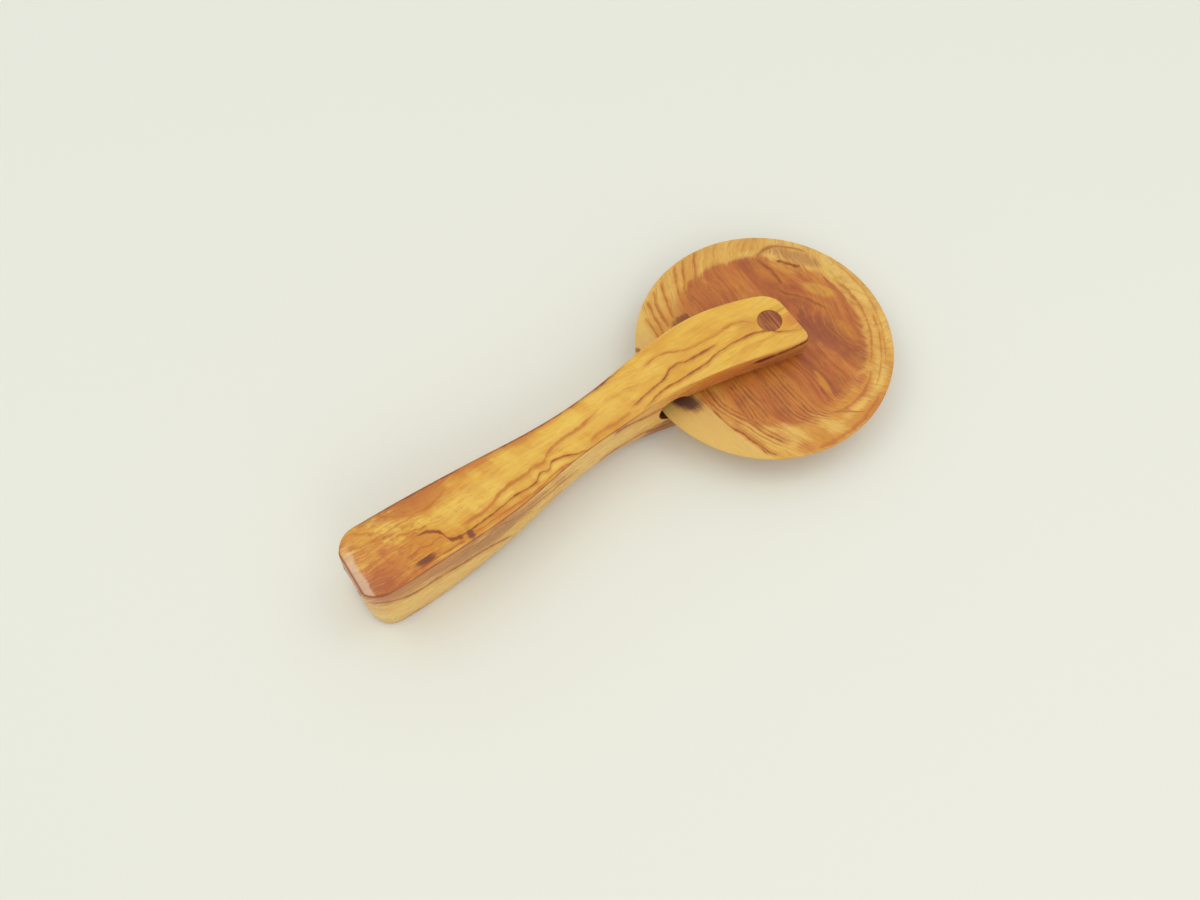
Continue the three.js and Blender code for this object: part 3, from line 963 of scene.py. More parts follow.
class WheelWood(OliveWood):
    """The wheel's wood: a flat-sawn board, copper in the middle and golden where the bevel cuts deeper."""

    LAYER_SLOPE = 3.6
    SWIRL_AHEAD = 27.0
    SWIRL_ASIDE = 10.0
    SWIRL_REACH = (11.0, 22.0, 9.0)
    SWIRL_BEND = -7.0
    ROUGHNESS = 0.42
    RINGS = (Rings(3.0, 30.0, 0.85), Rings(1.3, 13.0, 0.65), Rings(0.55, 5.5, 0.65))
    FIBRES = (Fibres(0.16, 1.5, 0.47, 0.7, 0.36), Fibres(0.4, 3.0, 0.56, 0.74, 0.4))

    def __init__(self, axle: float, flat: float) -> None:
        """Starts the wheel's wood and finds its layers, its heart and its sapwood.

        Args:
            axle: Where the axle is along +X, in millimetres.
            flat: The height of the wheel's upper flat, in millimetres.
        """
        super().__init__("wheel_olive_wood")
        drop = self.math("SUBTRACT", flat, self.z)
        self.layer = self.layers(drop, (axle + self.SWIRL_AHEAD, self.SWIRL_ASIDE, flat))
        self.draw_hair(self.y, self.layer)
        deep, long = self.math("MULTIPLY", self.layer, 0.13), self.math("MULTIPLY", self.y, 0.012)
        self.band = self.noise(self.joined(deep, long, 3.0), 4.0, 0.65)
        sap_edge, _ = self.path(self.y, SAPWOOD_EDGE)
        wander = self.centred_noise(self.scaled(self.place, (0.3, 0.2, 0.3)), 0.6, 4.0)
        self.uneven_x = self.math("ADD", self.x, wander)
        self.uneven_y = self.math("ADD", self.y, wander)
        inward = self.math("SUBTRACT", self.uneven_x, sap_edge)
        self.sapwood = self.fall(inward, -0.4, 1.2)
        self.heart = self.heartwood(drop, inward)
        self.beyond = self.product(self.step(self.x, 50.0, 68.0), self.fall(self.x, 84.0, 96.0))

    def layers(self, drop: Any, swirl: Triple) -> bpy.types.NodeSocket:
        """How deep a point lies across the board's growth layers.

        Args:
            drop: How far the point lies below the wheel's upper flat, in millimetres.
            swirl: The middle of the swirl where the layers bend.

        Returns:
            The depth in millimetres.
        """
        warp = self.centred_noise(self.scaled(self.place, (0.05, 0.03, 0.1)), 5.0, 3.0)
        fine = self.centred_noise(self.scaled(self.place, (0.4, 0.12, 0.4)), 0.5, 3.0)
        tilt = self.math("MULTIPLY_ADD", drop, -self.LAYER_SLOPE, self.x)
        inputs = {"Vector": self.place, "Location": swirl, "Scale": self.SWIRL_REACH}
        local = self.add("ShaderNodeMapping", inputs, vector_type="TEXTURE").outputs[0]
        bump = self.fall(self.vector("LENGTH", local), 0.0, 1.3)
        bent = self.math("MULTIPLY_ADD", bump, self.SWIRL_BEND, tilt)
        return self.math("ADD", self.math("ADD", bent, warp), fine)

    def heartwood(self, drop: Any, inward: Any) -> bpy.types.NodeSocket:
        """Where the copper heart shows: on the flat, up to a ragged edge.

        Args:
            drop: How far the point lies below the wheel's upper flat, in millimetres.
            inward: How far the point lies inside the sapwood's edge.

        Returns:
            The heart's share, from 0 to 1.
        """
        ragged = self.math("MULTIPLY_ADD", self.uneven, 0.35, self.math("MULTIPLY", self.hair, 0.5))
        fringe = self.math("ADD", self.math("MULTIPLY_ADD", self.band, -0.8, 0.2), ragged)
        banded = self.math("MULTIPLY_ADD", self.band, -8.0, inward)
        depth = self.math("MULTIPLY_ADD", self.y, -0.2, banded)
        flat = self.fall(self.math("ADD", drop, fringe), 0.1, 0.7)
        return self.product(flat, self.step(depth, -2.0, 9.0))

    def ground(self) -> bpy.types.NodeSocket:
        """The wood's own colour: golden on the bevel, copper and blotchy in the heart, pale sapwood.

        Returns:
            The colour, before any mark.
        """
        golden = self.ramp(self.band, ((0.34, Tone.SAND), (0.52, Tone.GOLD), (0.74, Tone.AMBER)))
        reddened = self.math("MULTIPLY_ADD", self.beyond, 0.07, self.band)
        copper_stops = ((0.36, Tone.AMBER), (0.48, Tone.CHESTNUT), (0.62, Tone.SIENNA), (0.78, Tone.BRICK))
        copper = self.ramp(reddened, copper_stops)
        blotch = self.step(self.noise(self.scaled(self.place, (0.16, 0.07, 0.16)), 4.0, 0.65), 0.46, 0.66)
        copper = self.mix(self.product(blotch, 0.4), copper, Tone.AMBER.linear)
        colour = self.mix(self.heart, golden, copper)
        return self.mix(self.product(self.sapwood, 0.85), colour, Tone.TAN.linear)

    def mark(self, colour: Any) -> bpy.types.NodeSocket:
        """Lays the clouds, growth rings, veins and fibres over a colour.

        Args:
            colour: The wood's own colour.

        Returns:
            The colour with all of them on it.
        """
        dark = self.mix(self.heart, Tone.OLIVE.linear, Tone.COCOA.linear)
        for cloud in WHEEL_CLOUDS:
            colour = self.lay_cloud(colour, cloud)
        clear = self.math("MULTIPLY_ADD", self.sapwood, -0.6, 1.0)
        mild = self.math("MULTIPLY_ADD", self.product(self.beyond, self.heart), -0.55, 1.0)
        patches = self.math("MULTIPLY_ADD", self.patchy, 0.9, 0.35)
        deep = self.product(clear, self.math("MULTIPLY_ADD", self.heart, 0.5, 0.5), mild, patches)
        for rings in self.RINGS:
            shown = self.product(self.ring(self.layer, rings), deep, rings.strength)
            colour = self.mix(shown, colour, dark, "DARKEN")
        for vein in WHEEL_VEINS:
            if vein.face is Face.CROSSWISE:
                colour = self.lay_vein(colour, vein, self.y, self.uneven_x)
            else:
                colour = self.lay_vein(colour, vein, self.x, self.uneven_y)

        for fibres in self.FIBRES:
            along = self.math("MULTIPLY", self.y, fibres.along)
            place = self.joined(self.math("MULTIPLY", self.layer, fibres.across), along, self.z)
            colour = self.lay_fibres(colour, fibres, place, clear, dark)
        return colour

    def build(self) -> bpy.types.Material:
        """Builds the whole material.

        Returns:
            The wheel's material.
        """
        colour = self.mark(self.ground())
        fibre = self.noise(self.scaled(self.place, (2.6, 0.14, 1.0)), 3.0, 0.6)
        return self.finish(colour, fibre, self.ROUGHNESS)


class DowelWood(OliveWood):
    """The dowel's wood: dark brown, with the end grain's fine stripes."""

    ROUGHNESS = 0.5

    def build(self) -> bpy.types.Material:
        """Builds the whole material.

        Returns:
            The dowel's material.
        """
        stripe = self.noise(self.scaled(self.place, (1.4, 0.09, 0.05)), 4.0, 0.7)
        colour = self.ramp(stripe, ((0.32, Tone.COPPER), (0.48, Tone.WALNUT), (0.64, Tone.UMBER)))
        fibre = self.noise(self.scaled(self.place, (3.0, 3.0, 0.2)), 2.0, 0.6)
        return self.finish(colour, fibre, self.ROUGHNESS)


class FloorFinish(NodeGraph):
    """The floor: plain and pale, with a faint unevenness."""

    def build(self) -> bpy.types.Material:
        """Builds the whole material.

        Returns:
            The floor's material.
        """
        source = self.add("ShaderNodeTexCoord")
        cloudy = self.noise(self.scaled(source.outputs["Object"], (2.0, 2.0, 2.0)), 2.0)
        rough = self.math("MULTIPLY_ADD", cloudy, 0.1, 0.5)
        surface = self.add("ShaderNodeBsdfPrincipled", {"Base Color": Tone.PAPER.linear, "Roughness": rough})
        output = self.add("ShaderNodeOutputMaterial")
        self.feed(output.inputs["Surface"], surface.outputs[0])
        return self.material


class SmoothRun:
    """A smooth curve of values along the handle, through a few places."""

    def __init__(self, points: Sequence[Point]) -> None:
        """Works out the slope at each place.

        Args:
            points: Places with their values, in order.
        """
        self.points = list(points)
        slopes = [(b[1] - a[1]) / (b[0] - a[0]) for a, b in zip(self.points, self.points[1:])]
        middle = [(a + b) / 2 for a, b in zip(slopes, slopes[1:])]
        self.slopes = [slopes[0], *middle, slopes[-1]]

    def at(self, place: float) -> float:
        """The value at a place.

        Args:
            place: Where along the handle.

        Returns:
            The value there.
        """
        count = len(self.points) - 2
        index = next((i for i in range(count) if place < self.points[i + 1][0]), count)
        (start, first), (end, last) = self.points[index], self.points[index + 1]
        length = end - start
        t = (place - start) / length
        rise = last - first
        bend_in = self.slopes[index] * length - rise
        bend_out = rise - self.slopes[index + 1] * length
        return first + rise * t + t * (1 - t) * (bend_in * (1 - t) + bend_out * t)


def smooth_share(value: float, low: float, high: float) -> float:
    """How far a value has come from low to high, easing in and out."""
    t = min(max((value - low) / (high - low), 0.0), 1.0)
    return t * t * (3 - 2 * t)


def quarter_turns(steps: int) -> list[float]:
    """Angles that split a quarter turn into even steps, without its start."""
    return [step / steps * math.pi / 2 for step in range(1, steps + 1)]


def drawn_in(distance: float, radius: float) -> float:
    """How far a rounded corner draws in, at a distance from the end that it rounds."""
    short = max(radius - distance, 0.0)
    return radius - math.sqrt(max(radius * radius - short * short, 0.0))


class Piece:
    """A finished piece: its mesh becomes an object that rides on a body of the frame."""

    @staticmethod
    def to_object(name: str, shape: bmesh.types.BMesh, sharp_angle: float) -> bpy.types.Object:
        """Turns a closed shape into a smooth-shaded object at the origin.

        Args:
            name: The object's name.
            shape: The mesh, which is freed.
            sharp_angle: Edges that turn more than this, in degrees, stay sharp.

        Returns:
            The object, linked to the scene.
        """
        bmesh.ops.remove_doubles(shape, verts=shape.verts, dist=WELD)
        bmesh.ops.recalc_face_normals(shape, faces=shape.faces)
        mesh = bpy.data.meshes.new(name)
        shape.to_mesh(mesh)
        shape.free()
        mesh.shade_smooth()
        mesh.set_sharp_from_angle(angle=math.radians(sharp_angle))
        made = bpy.data.objects.new(name, mesh)
        bpy.context.scene.collection.objects.link(made)
        return made

    @staticmethod
    def settle(made: bpy.types.Object, node: str, body: str, slot: str) -> None:
        """Sets a piece in the frame in place of a node.

        Args:
            made: The piece.
            node: The node that it stands for.
            body: The body that it rides on.
            slot: A material slot's name, which is not used.
        """
        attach(made, body)
        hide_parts(node)
        LOG.info("%s: %d faces, rides on %s", made.name, len(made.data.polygons), body)


@dataclass
class Extents:
    """One section of the handle: its near and far sides, its lower and upper faces, in metres."""

    near: float
    far: float
    below: float
    top: float


@dataclass
class Handle(Piece):
    """The one-piece handle: palm, waist, neck and the fork that holds the wheel.

    Attributes:
        low: The lowest corner of the handle in the frame.
        high: The highest corner of the handle in the frame.
        axle: The middle of the axle.
        dowel_radius: The radius of the dowel that fills the fork's hole.
        wheel_radius: The radius of the wheel in the slot.
    """

    low: Vector
    high: Vector
    axle: Vector
    dowel_radius: float
    wheel_radius: float
    slot_floor: float = 9.2 * MM
    slot_ceiling: float = 19.3 * MM
    slot_end_gap: float = 2.7 * MM
    slot_hole_radius: float = 6.2 * MM
    waist_top: float = 4.0 * MM
    waist_below: float = 7.5 * MM
    palm_length: float = 18.0 * MM
    palm_taper: float = 57.0 * MM
    fork_shoulder: float = 11.5 * MM
    fork_flare: float = 31.0 * MM
    long_edge: float = 0.9 * MM
    cheek_wear: float = 0.9 * MM
    cheek_wear_length: float = 25.0 * MM
    butt_roll_length: float = 6.5 * MM
    butt_roll_radius: float = 12.0 * MM
    butt_lean: float = 0.8 * MM
    butt_lean_height: float = 8.0 * MM
    butt_lower_edge: float = 2.5 * MM
    butt_corners: Point = (8.5 * MM, 9.0 * MM)
    nose_edge: float = 1.2 * MM
    nose_corners: Point = (3.0 * MM, 5.0 * MM)
    slot_edge: float = 0.35 * MM
    shelf: float = 1.4 * MM
    glue_line: float = 0.01 * MM
    column_spacing: float = 2.0 * MM
    sharp_angle: float = 50.0
    edge_steps: int = 6
    corner_steps: int = 8
    hole_steps: int = 16
    bend_steps: int = 4
    arch_steps: int = 4
    ease_steps: int = 2
    drill_steps: int = 72

    def __post_init__(self) -> None:
        """Works out the places that follow from the sizes."""
        self.butt = self.low.x
        self.nose = self.high.x
        self.slot_end = self.axle.x - self.wheel_radius - self.slot_end_gap
        self.hole_x = self.slot_end + self.slot_hole_radius
        self.hole_z = self.slot_floor + self.slot_hole_radius
        # Places along the handle, with its middle's offset and its width there in millimetres.
        stations = (
            (self.butt, -1.0, 26.6),
            (self.butt + self.palm_length, -1.0, 26.6),
            (self.slot_end - 65.8 * MM, 0.6, 24.0),
            (self.slot_end - 31.8 * MM, 3.4, 17.6),
            (self.slot_end, 5.4, 19.7),
            (self.axle.x - 22.0 * MM, 4.6, 24.9),
            (self.axle.x, -0.3, 24.7),
            (self.nose, -2.9, 22.0),
        )
        self.middle = SmoothRun([(place, offset * MM) for place, offset, _ in stations])
        self.width = SmoothRun([(place, width * MM) for place, _, width in stations])
        self.set_roles()

    def set_roles(self) -> None:
        """Lists a section's points in order, and finds the rows of them round the drilled hole."""
        inset = self.long_edge + self.shelf
        turns = [step / self.hole_steps * math.pi for step in range(self.hole_steps + 1)]
        self.levels = [self.hole_z - self.slot_hole_radius * math.cos(turn) for turn in turns]
        low_far, low_near = self.corner_roles(True, False), self.corner_roles(False, False)
        far_wall = [self.flat_role(True, z, 0.0) for z in self.levels]
        near_wall = [self.flat_role(False, z, 0.0) for z in reversed(self.levels)]
        low_flats = [self.flat_role(far, self.lower, inset) for far in (False, True)]
        top_flats = [self.flat_role(far, self.upper, inset) for far in (True, False)]
        top = [*self.corner_roles(True, True), *top_flats, *self.corner_roles(False, True)]
        floor, ceiling = self.slot_roles(self.slot_floor), self.slot_roles(self.ceiling)
        self.roles = [*low_far, *far_wall, *top, *near_wall, *low_near, *low_flats]
        self.low_roles = [*low_far, *floor, *low_near, *low_flats]
        self.top_roles = [ceiling[0], *top, *ceiling[:0:-1]]

        rows, first_far = len(self.levels), len(low_far)
        first_near = first_far + rows + len(top)
        self.far_rows = range(first_far, first_far + rows)
        self.near_rows = range(first_near + rows - 1, first_near - 1, -1)

    def extents(self, x: float) -> Extents:
        """The handle's sides and faces at a place along it.

        Args:
            x: The place.

        Returns:
            The section there.
        """
        from_butt, from_nose = x - self.butt, self.nose - x
        palm_end = self.butt + self.palm_length
        shoulder = self.slot_end + self.fork_shoulder
        share = smooth_share(x, palm_end, palm_end + self.palm_taper)
        share *= 1 - smooth_share(x, shoulder - self.fork_flare, shoulder)
        nose_edge = drawn_in(from_nose, self.nose_edge)
        near, far = (
            drawn_in(from_butt, butt) + drawn_in(from_nose, nose)
            for butt, nose in zip(self.butt_corners, self.nose_corners)
        )
        middle, half = self.middle.at(x), self.width.at(x) / 2
        return Extents(
            near=middle - half + near,
            far=middle + half - far,
            below=share * self.waist_below + drawn_in(from_butt, self.butt_lower_edge) + nose_edge,
            top=self.high.z - share * self.waist_top - self.butt_drop(from_butt) - nose_edge,
        )

    def butt_drop(self, distance: float) -> float:
        """How far the upper face has rolled down at a distance from the butt.

        Args:
            distance: The distance from the butt's end.

        Returns:
            The drop: a gentle roll, a crisp edge, then the end wall that leans out as it goes down.
        """
        radius = self.butt_roll_radius
        short = max(self.butt_roll_length - max(distance, self.butt_lean), 0.0)
        roll = radius - math.sqrt(radius**2 - short**2)
        lean = 1 - math.sqrt(min(max(distance, 0.0) / self.butt_lean, 1.0))
        return roll + lean * self.butt_lean_height

    def upper(self, x: float) -> float:
        """The height of the upper face."""
        return self.extents(x).top

    def lower(self, x: float) -> float:
        """The height of the lower face."""
        return self.extents(x).below

    def ceiling(self, x: float) -> float:
        """The height of the slot's ceiling, which the drilled hole raises at the slot's end.

        Args:
            x: The place along the handle.

        Returns:
            The height.
        """
        ahead = min(max(x - self.hole_x, 0.0), self.slot_hole_radius)
        arch = self.hole_z + math.sqrt(self.slot_hole_radius**2 - ahead**2)
        return max(arch, self.slot_ceiling)

    def corner_roles(self, far: bool, upper: bool) -> list[Role]:
        """The points round one long edge, in the ring's order.

        Args:
            far: Whether it is on the far side.
            upper: Whether it is on the upper face.

        Returns:
            One function for each point, from a place along the handle to its height across and up.
        """
        quarter = {(True, False): 3, (True, True): 0, (False, True): 1, (False, False): 2}[far, upper]

        def role_at(angle: float) -> Role:
            """The role of one point.

            Args:
                angle: Where it lies on the rounding.

            Returns:
                The function from a place to the point in the section there.
            """

            def role(x: float) -> Point:
                """The point in one section.

                Args:
                    x: The place along the handle.

                Returns:
                    The point's places across and up.
                """
                section = self.extents(x)
                radius = self.long_edge
                if upper and not far:
                    wear_start = self.axle.x - self.cheek_wear_length
                    radius += self.cheek_wear * smooth_share(x, wear_start, self.axle.x)
                y = section.far - radius if far else section.near + radius
                z = section.top - radius if upper else section.below + radius
                return y + radius * math.cos(angle), z + radius * math.sin(angle)

            return role

        turns = [(quarter + step / self.edge_steps) * math.pi / 2 for step in range(self.edge_steps + 1)]
        return [role_at(turn) for turn in turns]

    def flat_role(self, far: bool, height: Height, inset: float) -> Role:
        """The role of a point at a distance inside one of the sides.

        Args:
            far: Whether the distance is from the far side.
            height: The point's height, or a function from a place along the handle to it.
            inset: The distance.

        Returns:
            The function from a place to the point in the section there.
        """

        def role(x: float) -> Point:
            """The point in one section.

            Args:
                x: The place along the handle.

            Returns:
                The point's places across and up.
            """
            section = self.extents(x)
            y = section.far - inset if far else section.near + inset
            return y, (height(x) if callable(height) else height)

        return role

    def slot_roles(self, height: Height) -> list[Role]:
        """The four points across the slot's floor or ceiling, from far to near.

        Args:
            height: The height of the floor or ceiling.

        Returns:
            The role of each point.
        """
        places = ((True, 0.0), (True, self.shelf), (False, self.shelf), (False, 0.0))
        return [self.flat_role(far, height, inset) for far, inset in places]

    def hole_back(self, z: float) -> float:
        """Where the back of the drilled hole is along the handle, at this height."""
        return self.hole_x - math.sqrt(max(self.slot_hole_radius**2 - (z - self.hole_z) ** 2, 0.0))

    def columns(self, start: float, end: float) -> list[float]:
        """Evenly spaced places from start to end, without start."""
        count = max(1, round((end - start) / self.column_spacing))
        return [start + (end - start) * step / count for step in range(1, count + 1)]

    @staticmethod
    def grow(shape: bmesh.types.BMesh, ring: Ring, closed: bool) -> Ring:
        """Extrudes a ring or chain of points by one step, on the spot.

        Args:
            shape: The mesh.
            ring: The points, in order.
            closed: Whether the last point joins the first.

        Returns:
            The new points, in the same order.
        """
        pairs = list(zip(ring, ring[1:] + ring[:1])) if closed else list(zip(ring, ring[1:]))
        edges = [shape.edges.get(pair) for pair in pairs]
        made = bmesh.ops.extrude_edge_only(shape, edges=edges)["geom"]
        fresh = {item for item in made if isinstance(item, bmesh.types.BMVert)}
        return [next(e.other_vert(v) for e in v.link_edges if e.other_vert(v) in fresh) for v in ring]

    @staticmethod
    def cap(shape: bmesh.types.BMesh, ring: Ring) -> None:
        """Closes a ring of points with one face."""
        bmesh.ops.contextual_create(shape, geom=ring)

    def lay(self, ring: Ring, roles: Sequence[Role], x: float) -> None:
        """Moves a ring's points to their places in the section at x."""
        for vertex, role in zip(ring, roles):
            vertex.co = (x, *role(x))

    def butt_columns(self) -> list[float]:
        """Places along the butt, closer together where its end wall leans and its corners turn.

        Returns:
            The places, in order.
        """
        shares = [step / self.edge_steps for step in range(1, self.edge_steps + 1)]
        wall = [self.butt + self.butt_lean * share**2 for share in shares]
        start, end = wall[-1], self.butt + max(self.butt_corners)
        return wall + [end - (end - start) * math.cos(turn) for turn in quarter_turns(self.corner_steps)]

    def nose_columns(self, start: float) -> list[float]:
        """Places along a cheek, closer together round its corners.

        Args:
            start: The slot's end, which is left out.

        Returns:
            The places up to the nose, in order.
        """
        arch = math.sqrt(self.slot_hole_radius**2 - (self.slot_ceiling - self.hole_z) ** 2)
        places = [start + arch * math.sin(turn) for turn in quarter_turns(self.arch_steps)]
        corner = max(self.nose_corners)
        round_start = self.nose - corner
        places += self.columns(places[-1], round_start)
        return places + [round_start + corner * math.sin(turn) for turn in quarter_turns(self.corner_steps)]

    def shelf_chain(
        self, shape: bmesh.types.BMesh, near: bmesh.types.BMVert, far: bmesh.types.BMVert
    ) -> Ring:
        """Joins two points by an edge across the slot, with two points near its ends.

        Args:
            shape: The mesh.
            near: The point on the near side.
            far: The point on the far side.

        Returns:
            The four points from near to far.
        """
        edge = bmesh.ops.contextual_create(shape, geom=[near, far])["edges"][0]
        _, near_shelf = bmesh.utils.edge_split(edge, near, 1 / 3)
        _, far_shelf = bmesh.utils.edge_split(shape.edges.get((near_shelf, far)), far, 1 / 2)
        near_shelf.co.y = near.co.y + self.shelf
        far_shelf.co.y = far.co.y - self.shelf
        return [near, near_shelf, far_shelf, far]

    def grow_grip(self, shape: bmesh.types.BMesh) -> Ring:
        """Extrudes the section from the butt to the slot's end, where it bends round the drilled hole.

        Args:
            shape: The mesh.

        Returns:
            The last section's points.
        """
        count = len(self.roles)
        ring = bmesh.ops.create_circle(shape, cap_ends=False, radius=MM, segments=count)["verts"]
        self.lay(ring, self.roles, self.butt)
        self.cap(shape, ring)
        places = self.butt_columns()
        bend_start = self.slot_end - self.column_spacing
        for x in [*places, *self.columns(places[-1], bend_start)]:
            ring = self.grow(shape, ring, True)
            self.lay(ring, self.roles, x)

        rows = dict(zip([*self.far_rows, *self.near_rows], self.levels * 2))
        for step in range(1, self.bend_steps + 1):
            share = step / self.bend_steps
            ring = self.grow(shape, ring, True)
            for index, (vertex, role) in enumerate(zip(ring, self.roles)):
                goal = self.hole_back(rows[index]) if index in rows else self.hole_x
                x = bend_start + (goal - bend_start) * share
                vertex.co = (x, *role(x))
        return ring

    def grow_slot_end(self, shape: bmesh.types.BMesh, ring: Ring) -> tuple[Ring, Ring]:
        """Lays the back of the drilled hole across the slot's end, from its floor to its ceiling.

        Args:
            shape: The mesh.
            ring: The grip's last points.

        Returns:
            The points across the floor and across the ceiling, from near to far.
        """
        floor = self.shelf_chain(shape, ring[self.near_rows[0]], ring[self.far_rows[0]])
        chain = floor
        for z, near_row, far_row in list(zip(self.levels, self.near_rows, self.far_rows))[1:]:
            chain = self.grow(shape, chain, False)
            near, far = ring[near_row], ring[far_row]
            for vertex, y in zip(chain[1:3], (near.co.y + self.shelf, far.co.y - self.shelf)):
                vertex.co = (near.co.x, y, z)
            bmesh.ops.weld_verts(shape, targetmap={chain[0]: near, chain[3]: far})
            chain = [near, *chain[1:3], far]
        return floor, chain

    def grow_cheeks(self, shape: bmesh.types.BMesh, ring: Ring, floor: Ring, ceiling: Ring) -> None:
        """Extrudes the lower and the upper cheek from the slot's end to the nose.

        Args:
            shape: The mesh.
            ring: The grip's last points.
            floor: The points across the slot's floor.
            ceiling: The points across the slot's ceiling.
        """
        low_ring = [*ring[: self.far_rows[0] + 1], *floor[2:0:-1], *ring[self.near_rows[0]:]]
        top_ring = [*ring[self.far_rows[-1]: self.near_rows[-1] + 1], *ceiling[1:3]]
        for cheek, roles in ((low_ring, self.low_roles), (top_ring, self.top_roles)):
            for x in self.nose_columns(self.hole_x):
                cheek = self.grow(shape, cheek, True)
                self.lay(cheek, roles, x)
            self.cap(shape, cheek)

    def build(self) -> bpy.types.Object:
        """Models the handle by extruding its section from the butt to the fork, then the two cheeks.

        Returns:
            The handle's object.
        """
        shape = bmesh.new()
        ring = self.grow_grip(shape)
        floor, ceiling = self.grow_slot_end(shape, ring)
        self.grow_cheeks(shape, ring, floor, ceiling)
        bmesh.ops.recalc_face_normals(shape, faces=shape.faces)
        for heights in ((0.0, self.slot_floor), (self.slot_ceiling, self.high.z)):
            self.drill(shape, heights)
        self.ease_slot(shape)
        return self.to_object("carved_handle", shape, self.sharp_angle)

    def inside_edges(self, place: Vector) -> bool:
        """Whether a point lies inside the rounding of both long edges."""
        return abs(place.y - self.middle.at(place.x)) < self.width.at(place.x) / 2 - self.shelf / 2

    def faces_near_axle(
        self, shape: bmesh.types.BMesh, height: float, reach: float
    ) -> list[bmesh.types.BMFace]:
        """The level faces round the axle at one height.

        Args:
            shape: The mesh.
            height: The height.
            reach: How far along the handle their middles may lie from the axle.

        Returns:
            The faces.
        """
        return [
            face for face in shape.faces
            if abs(face.normal.z) > LEVEL_NORMAL
            and abs(face.calc_center_median().z - height) < TOUCH
            and abs(face.calc_center_median().x - self.axle.x) < reach
            and all(self.inside_edges(vertex.co) for vertex in face.verts)
        ]

    def drill(self, shape: bmesh.types.BMesh, heights: Point) -> None:
        """Cuts the dowel's hole through one cheek.

        Args:
            shape: The mesh.
            heights: The heights of the cheek's two faces.
        """
        radius = self.dowel_radius + self.glue_line
        rims = []
        for height in heights:
            found = self.faces_near_axle(shape, height, radius + self.shelf)
            edges = dict.fromkeys(edge for face in found for edge in face.edges)
            border = [edge for edge in edges if sum(face in found for face in edge.link_faces) == 1]
            normal = found[0].normal.copy()
            bmesh.ops.delete(shape, geom=found, context="FACES")
            spot = Matrix.Translation((self.axle.x, self.axle.y, height))
            circle = bmesh.ops.create_circle(
                shape, cap_ends=False, radius=radius, segments=self.drill_steps, matrix=spot
            )["verts"]
            rim = list(dict.fromkeys(edge for vertex in circle for edge in vertex.link_edges))
            bmesh.ops.triangle_fill(shape, use_beauty=True, edges=border + rim, normal=normal)
            rims += rim
        bmesh.ops.bridge_loops(shape, edges=rims)

    def ease_slot(self, shape: bmesh.types.BMesh) -> None:
        """Eases the sharp edges where the slot leaves the handle's sides and nose.

        Args:
            shape: The mesh.
        """
        bmesh.ops.recalc_face_normals(shape, faces=shape.faces)
        sharp = [
            edge for edge in shape.edges
            if len(edge.link_faces) == 2
            and edge.calc_face_angle(0.0) > SHARP_TURN
            and (edge.verts[0].co.xy - self.axle.xy).length > self.dowel_radius + self.shelf
        ]
        LOG.info("slot edges eased: %d", len(sharp))
        bmesh.ops.bevel(
            shape, geom=sharp, offset=self.slot_edge, offset_type="OFFSET", segments=self.ease_steps,
            profile=0.5, affect="EDGES", material=-1, clamp_overlap=True,
        )

    def dress(self, made: bpy.types.Object) -> None:
        """Gives the handle its wood and its place in the frame.

        Args:
            made: The handle's object.
        """
        hole = (self.hole_x / MM, self.hole_z / MM, self.slot_hole_radius / MM)
        made.data.materials.append(HandleWood(self.high.z / MM, hole).build())
        self.settle(made, "handle", "handle", "handle_wood")


